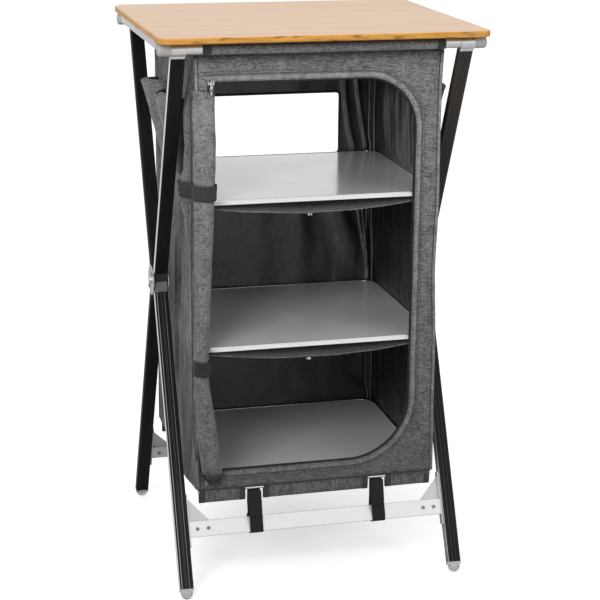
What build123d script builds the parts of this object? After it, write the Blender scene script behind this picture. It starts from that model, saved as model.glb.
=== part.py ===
from build123d import *
import os
from math import acos, atan2, cos, hypot, radians, sin

# Camping cupboard, millimetres. +Z up, the door faces -Y, X runs left to right.
# The origin is under the middle of the feet, on the ground.

# Tabletop
table_width = 600.0
table_depth = 520.0
table_thickness = 12.0
table_height = 1040.0
table_corner = 20.0
table_edge_round = 3.0

# Scissor frame, seen from the side: each leg is two half legs set off from the pivot.
# The legs' angle follows from the pivot and from where the top tubes lie under the tabletop.
pivot_rise = 27.0
tube_inset = 34.0
cap_inset = 1.9
leg_offset = 8.5
leg_width = 26.0
leg_depth = 16.0
leg_wall = 1.8
leg_corner = 2.5
leg_groove_width = 1.6
leg_groove_depth = 0.7
leg_groove_pitch = 5.2

# Hub between the half legs
plug_reach = 27.0
spigot_length = 26.0
spigot_corner = 1.5
hub_disc_radius = 16.0
cheek_thickness = 4.2
pivot_radius = 4.0
pivot_clearance = 0.05
plate_radius = 29.0
plate_thickness = 2.5
hub_rivet_radius = 2.0
hub_rivet_head = 3.8
hub_rivet_rise = 1.6
hub_rivet_reach = 21.0
hub_arm_back = 17.0
plate_chamfer = 0.6
bolt_head_radius = 7.0
bolt_head_height = 3.5

# Top tubes, their end caps and clamps
tube_radius = 10.0
tube_wall = 1.5
cap_radius = 11.5
cap_length = 23.0
cap_bore_depth = 14.0
cap_round = 5.0
clamp_wall = 2.4
clamp_neck = 13.5
clamp_rivet_radius = 1.6
clamp_rivet_head = 2.6
clamp_rivet_rise = 1.2
clamp_rivet_angle = 38.0
clamp_rivet_pitch = 21.0
clamp_mouth = 2.5

# Side rails under the tabletop
rail_height = 15.0
rail_width = 11.0
rail_wall = 1.6
rail_inset = 5.0
rail_end_gap = 11.0
rail_corner = 1.2

# Crossbars and their brackets
crossbar_height = 116.0
bar_height = 30.0
bar_depth = 12.0
bar_wall = 1.6
bar_corner = 1.0
bracket_thickness = 2.4
bracket_inset = 1.0
bracket_flange_up = 66.0
bracket_flange_down = 34.0
web_rise = 42.0
web_run = 38.0
tongue_length = 42.0
bar_rivet_radius = 2.2
bar_rivet_head = 3.4
bar_rivet_rise = 1.4
bar_rivet_pitch = 21.0
bar_rivet_inset = 14.0

# Feet
glide_radius = 11.5
glide_flat = 0.5
glide_seat = 2.5
foot_collar = 5.0
foot_neck_radius = 6.5

# Fabric cupboard
cloth = 1.6
body_side_gap = 19.0
wall_inset = 24.5
body_drop = 13.2
door_left_margin = 24.0
door_right_margin = 50.0
door_sill = 25.0
door_head = 48.0
door_radius_top = 95.0
door_radius_bottom = 118.0
window_side_margin = 83.0
window_sill = -1.0
window_head = 142.0
window_radius = 5.0

# Shelves and slings
board_thickness = 8.0
board_corner = 30.0
rim_wall = 1.4
shelf_rise = 85.0
shelf_shares = (0.0, 0.329, 0.672)
board_gap = 3.5
sling_sag = 20.0
sling_end_gap = 3.5
sling_zip_x = -15.0
sling_zip_width = 6.0
sling_zip_thickness = 1.0
sling_zip_gap = 7.0

# Bottom hems, rods and straps
hem_height = 28.0
hem_thickness = 9.0
hem_cloth = 1.1
hem_end_gap = 4.0
rod_radius = 3.2
rod_overhang = 2.0
strap_width = 25.0
strap_thickness = 1.8
strap_margin = 110.0
strap_gap = 35.0

# Sleeves on the top tubes
sleeve_end_margin = 10.0
sleeve_cloth = 1.1
skirt_cloth = 1.6

# Rolled door, bands and zip
roll_width = 42.0
roll_depth = 34.0
roll_margin = 15.5
roll_foot_gap = 6.0
roll_head_gap = 26.0
roll_swell = 1.0
roll_flare = 4.0
roll_squeeze = 4.0
roll_slope = 42.0
roll_tip = 6.0
core_width = 15.0
core_depth = 20.0
core_drop = 14.0
core_overlap = 20.0
core_set_back = 1.0
band_height = 27.0
band_thickness = 1.4
band_margin = 2.0
band_shares = (0.291, 0.76)
zip_width = 7.0
zip_thickness = 1.4
zip_hidden = 4.0
slider_length = 12.0
slider_width = 9.0
slider_height = 4.0
slider_inset = 1.5
upper_slider_run = 6.0
lower_slider_run = -7.0
tab_length = 22.0
tab_width = 7.0
tab_thickness = 1.6
pin_radius = 0.9
pin_height = 2.2
barrel_wall = 1.0
ear_gap = 0.3
ear_thickness = 1.1
ear_width = 3.2

# Outside pockets on both sides
pocket_drop = 87.0
pocket_height = 146.0
pocket_bulge = 43.0
pocket_foot_bulge = 7.0
pocket_taper = 0.6
pocket_cloth = 2.0
pocket_shares = ((-0.78, 0.095), (0.165, 0.78))

# Clearances
seat = 0.3
slip = 0.1
join = 1.0

os.makedirs("parts", exist_ok=True)

table_bottom = table_height - table_thickness
pivot_height = table_height / 2 + pivot_rise
tube_z = table_bottom - seat - cap_radius
tube_y = table_depth / 2 - tube_inset
tube_above = tube_z - pivot_height
leg_angle = acos(leg_offset / hypot(tube_y, tube_above)) - atan2(tube_above, tube_y)
sin_a = sin(leg_angle)
cos_a = cos(leg_angle)
tube_reach = (tube_above + leg_offset * sin_a) / cos_a

leg_outer = table_width / 2 - cap_inset - cap_length - slip
leg_plane = leg_outer - leg_width / 2
leg_inner = leg_plane - leg_width / 2
glide_z = glide_radius - glide_flat
foot_reach = (pivot_height + leg_offset * sin_a - glide_z) / cos_a
foot_y = leg_offset * cos_a + foot_reach * sin_a
bar_reach = (pivot_height + leg_offset * sin_a - crossbar_height) / cos_a
bar_y = leg_offset * cos_a + bar_reach * sin_a

body_half = leg_inner - body_side_gap
body_front = tube_y - wall_inset
body_top = tube_z - body_drop
shelf_low = crossbar_height + shelf_rise
shelf_tops = [shelf_low + share * (body_top - shelf_low) for share in shelf_shares]
door_left = door_left_margin - body_half
door_right = body_half - door_right_margin
door_bottom = shelf_low + door_sill
door_top = body_top - door_head
window_half_width = body_half - window_side_margin
window_bottom = shelf_tops[-1] + window_sill
window_top = body_top - window_head
strap_place = body_half - strap_margin
sleeve_length = 2 * (body_half - sleeve_end_margin)
roll_x = roll_margin - body_half
roll_bottom = door_bottom + roll_foot_gap
roll_top = door_top - roll_head_gap
band_places = [roll_bottom + share * (roll_top - roll_bottom) for share in band_shares]
upper_slider_x = door_left + upper_slider_run
lower_slider_x = door_left + lower_slider_run
pocket_top = body_top - pocket_drop
pocket_bottom = pocket_top - pocket_height
pocket_places = [(low * body_front, high * body_front) for low, high in pocket_shares]


def save(name, solids):
    """Writes one node: a single solid or a group of separate solids."""
    shape = solids if not isinstance(solids, list) else Compound(children=list(solids))
    shape.label = name
    export_step(shape, f"parts/{name}.step")


def merged(shapes):
    """Fuses a list of touching solids into one."""
    total = shapes[0]
    for other in shapes[1:]:
        total = total + other
    return total.solid() if len(total.solids()) == 1 else total


def mirror_x(shape):
    return mirror(shape, Plane.YZ)


def mirror_y(shape):
    return mirror(shape, Plane.XZ)


def half_leg_place(front, upper, reach=0.0):
    """A frame on a half leg's axis: its z runs away from the hub, its x is the row's X, its y is
    the row of the leg's depth, pointing away from the pivot."""
    side = -1.0 if front else 1.0
    rise = 1.0 if upper else -1.0
    direction = Vector(0, side * sin_a, rise * cos_a)
    outward = Vector(0, side * cos_a, -rise * sin_a)
    base = Vector(leg_plane, 0, pivot_height) + outward * leg_offset + direction * reach
    x_direction = outward.cross(direction)
    return Plane(origin=base, x_dir=x_direction, z_dir=direction)


def leg_profile():
    """Section of the leg: a rounded tube with fine grooves on its two broad faces."""
    outer = RectangleRounded(leg_width, leg_depth, leg_corner)
    inner = RectangleRounded(leg_width - 2 * leg_wall, leg_depth - 2 * leg_wall, spigot_corner)
    section = outer - inner
    for step in (-1, 0, 1):
        for face in (-1, 1):
            groove = Rectangle(leg_groove_width, 2 * leg_groove_depth)
            section = section - Pos(step * leg_groove_pitch, face * leg_depth / 2) * groove
    return section


def half_leg(front, upper):
    start = plug_reach
    if upper:
        end = tube_reach - clamp_neck
    else:
        end = foot_reach - glide_seat - foot_collar
    place = half_leg_place(front, upper, start)
    return extrude(place * leg_profile(), end - start)


def leg_spigot(front, upper, start):
    """Plug that fits inside a leg; it runs on a little past its length to join what carries it."""
    width = leg_width - 2 * leg_wall - 2 * slip
    depth = leg_depth - 2 * leg_wall - 2 * slip
    place = half_leg_place(front, upper, start)
    return extrude(place * RectangleRounded(width, depth, spigot_corner), spigot_length + join)


def across(radius, low, high, y=0.0, z=0.0):
    """A round bar along X, between two distances."""
    place = Plane(origin=(low, y, z), x_dir=(0, 1, 0), z_dir=(1, 0, 0))
    return extrude(place * Circle(radius), high - low)


def hub_plug(front, upper):
    """One arm of a hub: it fills the leg's outline beside the stop face and plugs into the leg."""
    place = half_leg_place(front, upper, -hub_arm_back)
    arm = extrude(place * RectangleRounded(leg_width, leg_depth, leg_corner), plug_reach + hub_arm_back)
    keep = 4 * plate_radius
    rise = 1 if upper else -1
    half = Pos(leg_plane, 0, pivot_height + rise * (keep / 2 + seat / 2)) * Box(keep, keep, keep)
    arm = arm & half
    return arm + leg_spigot(front, upper, plug_reach - join)


def hub(pair_a):
    """The hub of one leg pair: A carries the two cheeks, B the tongue between them."""
    tongue_half = leg_width / 2 - cheek_thickness - seat
    clear_radius = hub_disc_radius + seat
    if pair_a:
        arms = [hub_plug(True, True), hub_plug(False, False)]
        cut_half = leg_width / 2 - cheek_thickness
        slot = across(clear_radius, leg_plane - cut_half, leg_plane + cut_half, 0, pivot_height)
        pieces = [arm - slot for arm in arms]
        for low in (leg_inner, leg_outer - cheek_thickness):
            pieces.append(across(hub_disc_radius, low, low + cheek_thickness, 0, pivot_height))
    else:
        arms = [hub_plug(True, False), hub_plug(False, True)]
        pieces = arms
        side_width = leg_width / 2 - tongue_half + join
        for low in (leg_inner - join, leg_plane + tongue_half):
            cut = across(clear_radius, low, low + side_width, 0, pivot_height)
            pieces = [piece - cut for piece in pieces]
        disc = across(hub_disc_radius, leg_plane - tongue_half, leg_plane + tongue_half, 0, pivot_height)
        pieces = pieces + [disc]
    body = merged(pieces)
    body = body - across(pivot_radius + pivot_clearance, leg_inner - join, leg_outer + join, 0, pivot_height)
    if pair_a:
        for y, z in hub_rivet_places():
            body = body - across(hub_rivet_radius + pivot_clearance, leg_inner - join, leg_outer + join, y, z)
    return body


def hub_rivet_places():
    places = []
    for front, upper in ((True, True), (False, False)):
        origin = half_leg_place(front, upper, hub_rivet_reach).origin
        places.append((origin.Y, origin.Z))
    return places


plate_in = leg_inner - seat - plate_thickness
plate_out = leg_outer + seat


def hub_plate(low):
    plate = across(plate_radius, low, low + plate_thickness, 0, pivot_height)
    rims = plate.edges().filter_by(GeomType.CIRCLE)
    plate = chamfer(rims, plate_chamfer)
    start = low - join
    end = low + plate_thickness + join
    plate = plate - across(pivot_radius + pivot_clearance, start, end, 0, pivot_height)
    for y, z in hub_rivet_places():
        plate = plate - across(hub_rivet_radius + pivot_clearance, start, end, y, z)
    return plate


def through_rivet(y, z, radius, head_radius, head_height, low, high):
    shank = across(radius, low, high, y, z)
    heads = []
    for start in (low - head_height, high):
        head = across(head_radius, start, start + head_height, y, z)
        rim = head.edges().filter_by(GeomType.CIRCLE).sort_by(Axis.X)
        outer = rim[0] if start < low else rim[-1]
        heads.append(fillet(outer, head_height * 0.6))
    return merged([shank] + heads)


def pivot_bolt():
    low = plate_in - slip
    high = plate_out + plate_thickness + slip
    return through_rivet(0, pivot_height, pivot_radius, bolt_head_radius, bolt_head_height, low, high)


def top_tube():
    """The front top tube, which runs into both end caps."""
    reach = leg_outer + cap_bore_depth
    tube = across(tube_radius, -reach, reach, -tube_y, tube_z)
    bore = across(tube_radius - tube_wall, -reach - join, reach + join, -tube_y, tube_z)
    tube = tube - bore
    for x in clamp_rivet_xs():
        tube = tube - along_rivet(x, clamp_rivet_radius + pivot_clearance, -2 * tube_wall, 2 * tube_wall)
    return tube


def clamp_rivet_xs():
    """Two rivets at each front clamp."""
    return [side * leg_plane + step * clamp_rivet_pitch for side in (-1, 1) for step in (-0.5, 0.5)]


def along_rivet(x, radius, start, length):
    """A round bar square to the front top tube, from a distance outside its surface."""
    tilt = radians(clamp_rivet_angle)
    out = Vector(0, -sin(tilt), cos(tilt))
    foot_point = Vector(x, -tube_y, tube_z) + out * (tube_radius + start)
    return extrude(Plane(origin=foot_point, z_dir=out) * Circle(radius), length)


def clamp_rivet(x):
    """Rivet through the wall of the tube, with a round head outside."""
    shank = along_rivet(x, clamp_rivet_radius, -tube_wall, tube_wall + 2 * slip)
    head = along_rivet(x, clamp_rivet_head, slip, clamp_rivet_rise)
    return shank + head


def tube_cap():
    start = leg_outer + slip
    end = start + cap_length
    cap = across(cap_radius, start, end, -tube_y, tube_z)
    outer = cap.edges().filter_by(GeomType.CIRCLE).sort_by(Axis.X)[-1]
    cap = fillet(outer, cap_round)
    socket = across(tube_radius + slip, start - join, start + cap_bore_depth, -tube_y, tube_z)
    return cap - socket


def tube_clamp():
    """Saddle under the tube at the front right, with a neck that plugs into the leg."""
    low = leg_inner
    outer_radius = tube_radius + slip + clamp_wall
    ring = across(outer_radius, low, leg_outer, -tube_y, tube_z)
    place = half_leg_place(True, True, tube_reach - clamp_neck)
    neck = extrude(place * RectangleRounded(leg_width, leg_depth + 2 * join, leg_corner), clamp_neck)
    body = ring + neck
    body = body + leg_spigot(True, True, tube_reach - clamp_neck - spigot_length)
    body = body - across(tube_radius + slip, low - join, leg_outer + join, -tube_y, tube_z)
    room = 6 * tube_radius
    mouth = Pos(leg_plane, -tube_y, tube_z + clamp_mouth + room / 2) * Box(leg_width + 2 * join, room, room)
    return (body - mouth).solid()


def side_rail():
    """Channel under the tabletop's right edge, between the tube caps."""
    half = tube_y - cap_radius - rail_end_gap
    x_high = table_width / 2 - rail_inset
    centre = (x_high - rail_width / 2, 0, table_bottom - rail_height / 2)
    outer = Pos(*centre) * Box(rail_width, 2 * half, rail_height)
    hollow_height = rail_height - 2 * rail_wall
    inner = Pos(*centre) * Box(rail_width - 2 * rail_wall, 2 * (half + join), hollow_height)
    edges = outer.edges().filter_by(Axis.Y)
    return fillet(edges, rail_corner) - inner


def tabletop():
    outline = RectangleRounded(table_width, table_depth, table_corner)
    plate = extrude(Plane.XY.offset(table_bottom) * outline, table_thickness)
    rims = plate.faces().sort_by(Axis.Z)[-1].edges() + plate.faces().sort_by(Axis.Z)[0].edges()
    return fillet(rims, table_edge_round)


def bar_frame():
    """A frame at the front crossbar's middle: x along the bar, y out of its face, z up the leg."""
    leg = half_leg_place(True, False, bar_reach)
    return Plane(origin=(0, -bar_y, crossbar_height), x_dir=(1, 0, 0), z_dir=-leg.z_dir)


bar_half = leg_inner - seat - bracket_thickness - slip


def in_bar(x, across_depth, up, size_x, size_depth, size_up):
    """A box placed in the crossbar's own frame, by its centre."""
    box = Box(size_x, size_depth, size_up)
    return bar_frame() * Pos(x, across_depth, up) * box


def bar_rivet_xs():
    first = bar_half - bar_rivet_inset
    return (first, first - bar_rivet_pitch)


def bar_rivet(x, radius, start, length):
    """A short round bar along the crossbar's depth, at one rivet."""
    place = bar_frame() * Pos(x, start, 0) * Rot(90, 0, 0)
    return place * Pos(0, 0, -length / 2) * Cylinder(radius, length)


def crossbar():
    bar = in_bar(0, 0, 0, 2 * bar_half, bar_depth, bar_height)
    bar = fillet(bar.edges().filter_by(Axis.X), bar_corner)
    hollow = (bar_depth - 2 * bar_wall, bar_height - 2 * bar_wall)
    bar = bar - in_bar(0, 0, 0, 2 * (bar_half + join), *hollow)
    for x in bar_rivet_xs():
        for side in (-1, 1):
            bar = bar - bar_rivet(side * x, bar_rivet_radius + pivot_clearance, -bar_depth, 2 * bar_depth)
    return bar


def bar_bracket():
    """Right front bracket: flange on the leg, tongue inside the bar and a triangular web above it."""
    flange_x = leg_inner - seat - bracket_thickness / 2
    flange_length = bracket_flange_up + bracket_flange_down
    flange_mid = (bracket_flange_up - bracket_flange_down) / 2
    flange = in_bar(flange_x, 0, flange_mid, bracket_thickness, leg_depth - 2 * bracket_inset, flange_length)
    tongue_depth = bar_depth - 2 * bar_wall - 2 * slip
    tongue_height = bar_height - 2 * bar_wall - 2 * slip
    tongue_end = bar_half - tongue_length
    tongue_mid = (tongue_end + flange_x) / 2
    tongue = in_bar(tongue_mid, 0, 0, flange_x - tongue_end, tongue_depth, tongue_height)
    low = bar_height / 2 + slip
    web_x = leg_inner - seat - bracket_thickness
    high = low + web_rise
    corners = [(web_x + join, low), (web_x - web_run, low), (web_x, high), (web_x + join, high)]
    web_face = make_face(Polyline(*corners, close=True))
    web_plane = bar_frame() * Pos(0, bracket_thickness / 2, 0) * Rot(90, 0, 0)
    web = web_plane * extrude(web_face, bracket_thickness)
    body = merged([flange, tongue, web])
    for x in bar_rivet_xs():
        body = body - bar_rivet(x, bar_rivet_radius + pivot_clearance, -bar_depth, 2 * bar_depth)
    return body


def bar_rivet_solid(x):
    """Rivet through the bar and the tongue, with a low head on each face."""
    reach = bar_depth / 2
    shank = bar_rivet(x, bar_rivet_radius, -reach, 2 * reach)
    front = bar_rivet(x, bar_rivet_head, -reach - bar_rivet_rise, bar_rivet_rise)
    back = bar_rivet(x, bar_rivet_head, reach, bar_rivet_rise)
    return merged([shank, front, back])


def foot():
    """Front right foot: collar under the leg, spigot inside it and a domed glide below it."""
    start = foot_reach - glide_seat - foot_collar
    collar_place = half_leg_place(True, False, start)
    collar = extrude(collar_place * RectangleRounded(leg_width, leg_depth, leg_corner), foot_collar)
    neck = extrude(half_leg_place(True, False, start) * Circle(foot_neck_radius), foot_collar + glide_seat)
    spigot = leg_spigot(True, False, start - spigot_length)
    under_collar = half_leg_place(True, False, start + foot_collar) * Circle(2 * glide_radius)
    ball = Pos(leg_plane, -foot_y, glide_z) * Sphere(glide_radius) & extrude(under_collar, 2 * glide_radius)
    body = merged([collar, neck, spigot, ball])
    room = 10 * glide_radius
    ground = Pos(leg_plane, -foot_y, -room / 2) * Box(room, room, room)
    return body - ground


def sheet_xz(face, y_front, thickness):
    """A flat piece of cloth facing the front, from its outline in X and Z."""
    return extrude(Plane.XZ.offset(-y_front - thickness) * face, thickness)


floor_low = shelf_tops[0] - board_thickness - seat - cloth
wall_height = body_top - floor_low
wall_mid = (body_top + floor_low) / 2
inner_front = body_front - cloth - slip
inner_half = body_half - cloth - slip


def door_shape(grow=0.0):
    """The D-shaped door opening, larger all round by grow."""
    width = door_right - door_left + 2 * grow
    height = door_top - door_bottom + 2 * grow
    middle_x = (door_left + door_right) / 2
    middle_z = (door_top + door_bottom) / 2
    shape = Pos(middle_x, middle_z) * Rectangle(width, height)
    top_right = shape.vertices().sort_by(lambda v: v.X + v.Y)[-1]
    shape = fillet(top_right, door_radius_top + grow)
    bottom_right = [v for v in shape.vertices() if v.Y < middle_z and v.X > middle_x]
    return fillet(bottom_right, door_radius_bottom + grow)


def front_panel():
    wall = Pos(0, wall_mid) * Rectangle(2 * body_half, wall_height)
    return sheet_xz(wall - door_shape(), -body_front, cloth)


def rear_panel():
    wall = Pos(0, wall_mid) * Rectangle(2 * body_half, wall_height)
    height = window_top - window_bottom
    middle = (window_top + window_bottom) / 2
    window = Pos(0, middle) * RectangleRounded(2 * window_half_width, height, window_radius)
    return sheet_xz(wall - window, body_front - cloth, cloth)


def side_panel():
    return Pos(body_half - cloth / 2, 0, wall_mid) * Box(cloth, 2 * inner_front, wall_height)


def flat_panel(z_low):
    return Pos(0, 0, z_low + cloth / 2) * Box(2 * inner_half, 2 * inner_front, cloth)


def door_zip():
    """Zip tape behind the edge of the opening, along its top, right and bottom."""
    ring = door_shape(zip_hidden) - door_shape(zip_hidden - zip_width)
    left_height = door_top - door_bottom + 2 * (zip_hidden - zip_width)
    left_middle = (door_top + door_bottom) / 2
    left_part = Pos(door_left - zip_hidden, left_middle) * Rectangle(4 * zip_width, left_height)
    return sheet_xz(ring - left_part, -inner_front, zip_thickness)


def roll_outline(z, half_width, grow=0.0):
    """Section of the rolled door; its back stays at one small gap from the wall."""
    half_depth = roll_depth / 2 * min(1.0, 2 * half_width / roll_width)
    place = Pos(roll_x, -body_front - seat - half_depth, z)
    return place * Ellipse(half_width + grow, half_depth + grow)


def roll_sections():
    """Height and half width of the rolled door, from its foot to its top."""
    full = roll_width / 2
    narrow = full - roll_squeeze
    flat = band_height / 2 + band_margin
    slope = roll_slope
    rows = [(roll_bottom, full + roll_flare), (roll_bottom + slope, full + roll_swell)]
    for z in band_places:
        rows = rows + [(z - flat - slope, full), (z - flat, narrow)]
        rows = rows + [(z + flat, narrow), (z + flat + slope, full)]
    rows.append((roll_top - roll_tip, full - roll_swell))
    rows.append((roll_top, full - roll_tip))
    return rows


def door_roll():
    """The rolled door, drawn in at its bands, with its inner turns showing at the foot."""
    outer = loft([roll_outline(z, half_width) for z, half_width in roll_sections()], ruled=True)
    core_x = roll_x + (roll_width - core_width) / 2
    core_y = -body_front - seat - roll_depth + core_depth / 2 + core_set_back
    core_place = Plane.XY.offset(roll_bottom - core_drop) * Pos(core_x, core_y)
    core = extrude(core_place * Ellipse(core_width / 2, core_depth / 2), core_drop + core_overlap)
    return outer + core


def roll_band(z):
    """Webbing band round the roll, open at the back where it is sewn to the wall."""
    narrow = roll_width / 2 - roll_squeeze
    low = z - band_height / 2
    outline = roll_outline(low, narrow, seat + band_thickness)
    hollow = roll_outline(low, narrow, seat)
    ring = extrude(outline, band_height) - extrude(hollow, band_height)
    room = 4 * roll_depth
    behind = Pos(roll_x, -body_front - slip + room / 2, z) * Box(room, room, room)
    return (ring - behind).solids().sort_by(Axis.Y)[0]


def hem(low, high, side):
    """A flat tunnel under a wall, with rounded ends in section."""
    middle_y = side * (body_front - hem_thickness / 2)
    outer = SlotOverall(hem_height, hem_thickness, rotation=90)
    inner = SlotOverall(hem_height - 2 * hem_cloth, hem_thickness - 2 * hem_cloth, rotation=90)
    middle_z = floor_low - slip - hem_height / 2
    place = Plane(origin=(low, middle_y, middle_z), x_dir=(0, 1, 0), z_dir=(1, 0, 0))
    return extrude(place * (outer - inner), high - low)


def hems(side):
    """Three stretches of hem, with a gap at each strap."""
    edge = body_half - hem_end_gap
    near = strap_place - strap_gap / 2
    far = strap_place + strap_gap / 2
    return [hem(-edge, -far, side), hem(-near, near, side), hem(far, edge, side)]


rod_y = body_front - hem_thickness / 2
rod_z = floor_low - seat - strap_thickness - seat - rod_radius


def rod(side):
    reach = body_half - rod_overhang
    return across(rod_radius, -reach, reach, side * rod_y, rod_z)


def strap_outline(grow):
    """Outline, in Y and Z, of a band round the front rod and crossbar at a distance."""
    leg = half_leg_place(True, False, bar_reach)
    circles = [Pos(-rod_y, rod_z) * Circle(rod_radius + grow)]
    for depth_sign in (-1, 1):
        for height_sign in (-1, 1):
            corner = leg.z_dir * (height_sign * bar_height / 2) + leg.y_dir * (depth_sign * bar_depth / 2)
            circles.append(Pos(-bar_y + corner.Y, crossbar_height + corner.Z) * Circle(grow))
    edges = [edge for circle in circles for edge in circle.edges()]
    return make_hull(edges)


def strap(x, side):
    """Webbing loop from the rod round the crossbar."""
    place = Plane(origin=(x - strap_width / 2, 0, 0), x_dir=(0, 1, 0), z_dir=(1, 0, 0))
    section = strap_outline(seat + strap_thickness) - strap_outline(seat)
    band = extrude(place * section, strap_width)
    return band if side < 0 else mirror_y(band)


def sleeve():
    """Cloth tunnel round the front top tube with a short skirt towards the wall."""
    inside = tube_radius + seat
    place = Plane(origin=(-sleeve_length / 2, 0, 0), x_dir=(0, 1, 0), z_dir=(1, 0, 0))
    tube_hole = Pos(-tube_y, tube_z) * Circle(inside)
    ring = Pos(-tube_y, tube_z) * Circle(inside + sleeve_cloth)
    skirt_y = -body_front + cloth
    skirt_z = body_top + seat
    start = (-tube_y + tube_radius / 2, tube_z - inside + sleeve_cloth)
    corners = [
        start,
        (start[0] - tube_radius / 2, start[1] - sleeve_cloth - skirt_cloth / 2),
        (skirt_y - 2 * cloth, skirt_z),
        (skirt_y, skirt_z),
        (skirt_y, skirt_z + skirt_cloth),
        (skirt_y - cloth, skirt_z + skirt_cloth),
    ]
    skirt = make_face(Polyline(*corners, close=True))
    return extrude(place * (ring + skirt - tube_hole), sleeve_length)


board_width = 2 * (inner_half - board_gap - rim_wall - slip)
board_depth = 2 * (inner_front - board_gap - rim_wall - slip)


def plate_outline(grow):
    return RectangleRounded(board_width + 2 * grow, board_depth + 2 * grow, board_corner + grow)


def shelf_board(top):
    return extrude(Plane.XY.offset(top - board_thickness) * plate_outline(0), board_thickness)


def shelf_rim(top):
    """Bright band round the board's edge."""
    ring = plate_outline(slip + rim_wall) - plate_outline(slip)
    return extrude(Plane.XY.offset(top - board_thickness) * ring, board_thickness)


def sling(top):
    """Cloth hung between the side walls under a board, sagging in the middle."""
    half = inner_half - slip
    edge_z = top - board_thickness - seat
    upper = ThreePointArc((-half, edge_z), (0, edge_z - sling_sag), (half, edge_z))
    low_z = edge_z - cloth
    lower = ThreePointArc((half, low_z), (0, low_z - sling_sag), (-half, low_z))
    right = Line((half, edge_z), (half, low_z))
    left = Line((-half, low_z), (-half, edge_z))
    section = make_face(upper + right + lower + left)
    half_depth = inner_front - sling_end_gap
    return extrude(Plane.XZ.offset(-half_depth) * section, 2 * half_depth)


def sling_under(top):
    """Height of the sling's underside near its zip."""
    return top - board_thickness - seat - sling_sag - cloth


def sling_zip(top):
    half_depth = inner_front - sling_zip_gap
    z = sling_under(top) - slip - sling_zip_thickness / 2
    return Pos(sling_zip_x, 0, z) * Box(sling_zip_width, 2 * half_depth, sling_zip_thickness)


def sling_slider(top):
    z = sling_under(top) - slip - sling_zip_thickness - seat - slider_height / 2
    y = -(inner_front - sling_zip_gap) + slider_length / 2
    body = Pos(sling_zip_x, y, z) * Box(slider_width, slider_length, slider_height)
    return fillet(body.edges().filter_by(Axis.Z), slider_width / 4)


slider_back = -body_front - seat
pin_y = slider_back - slider_height - pin_height
upper_slider_z = door_top - slider_inset
lower_slider_z = door_bottom - slider_inset


def zip_slider(x, z):
    """Slider body with two ears and the pin that its pull hangs on."""
    body = Pos(x, slider_back - slider_height / 2, z) * Box(slider_length, slider_height, slider_width)
    pieces = [fillet(body.edges().filter_by(Axis.Y), slider_width / 4)]
    ear_x = tab_width / 2 + ear_gap + ear_thickness / 2
    ear_front = pin_y - ear_width / 2
    ear_back = slider_back - slider_height / 2
    for side in (-1, 1):
        ear_middle = Pos(x + side * ear_x, (ear_front + ear_back) / 2, z)
        pieces.append(ear_middle * Box(ear_thickness, ear_back - ear_front, ear_width))
    reach = ear_x + ear_thickness / 2
    pieces.append(across(pin_radius, x - reach, x + reach, pin_y, z))
    return merged(pieces)


def zip_pull(x, z):
    """Flat tab on a barrel round the slider's pin."""
    barrel = across(pin_radius + barrel_wall, x - tab_width / 2, x + tab_width / 2, pin_y, z)
    plate = Pos(x, pin_y, z - tab_length / 2) * Box(tab_width, tab_thickness, tab_length)
    corners = plate.edges().filter_by(Axis.Y).sort_by(Axis.Z)[:2]
    plate = fillet(corners, tab_width * 0.36)
    bore = across(pin_radius + pivot_clearance, x - tab_width, x + tab_width, pin_y, z)
    return merged([barrel, plate]) - bore


def pocket_section(z, share, bulge, low, high, shrink):
    """Half oval against the side panel at one height."""
    half = (high - low) / 2 * share - shrink
    oval = Ellipse(bulge - shrink, half)
    inward = Pos(shrink - 2 * body_half, 0) * Rectangle(4 * body_half, 4 * body_front)
    return Pos(body_half + seat, (low + high) / 2 * share, z) * (oval - inward)


def pocket(low, high):
    """Open pouch on the right side panel between two places along Y, wide at the top."""
    outer_rows = [(pocket_bottom, pocket_taper, pocket_foot_bulge), (pocket_top, 1.0, pocket_bulge)]
    outer = loft([pocket_section(*row, low, high, 0.0) for row in outer_rows], ruled=True)
    inner_rows = [(pocket_bottom + pocket_cloth, pocket_taper, pocket_foot_bulge)]
    inner_rows.append((pocket_top + slip, 1.0, pocket_bulge))
    inner = loft([pocket_section(*row, low, high, pocket_cloth) for row in inner_rows], ruled=True)
    return outer - inner


def both_sides(shape):
    return [mirror_x(shape), shape]


for label, front, upper in (("a_upper", True, True), ("a_lower", False, False),
                            ("b_upper", False, True), ("b_lower", True, False)):
    leg = half_leg(front, upper)
    save(f"leg_{label}_right", leg)
    save(f"leg_{label}_left", mirror_x(leg))

save("hub_a", both_sides(hub(True)))
save("hub_b", both_sides(hub(False)))
save("hub_plates", both_sides(hub_plate(plate_in)) + both_sides(hub_plate(plate_out)))
save("pivot_bolts", both_sides(pivot_bolt()))

hub_rivet_low = plate_in - slip
hub_rivet_high = plate_out + plate_thickness + slip
hub_rivet_list = []
for y, z in hub_rivet_places():
    sizes = (hub_rivet_radius, hub_rivet_head, hub_rivet_rise)
    rivet = through_rivet(y, z, *sizes, hub_rivet_low, hub_rivet_high)
    hub_rivet_list = hub_rivet_list + both_sides(rivet)

bar_rivet_list = []
for x in bar_rivet_xs():
    bar_rivet_list = bar_rivet_list + both_sides(bar_rivet_solid(x))
clamp_rivet_list = [clamp_rivet(x) for x in clamp_rivet_xs()]

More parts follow.
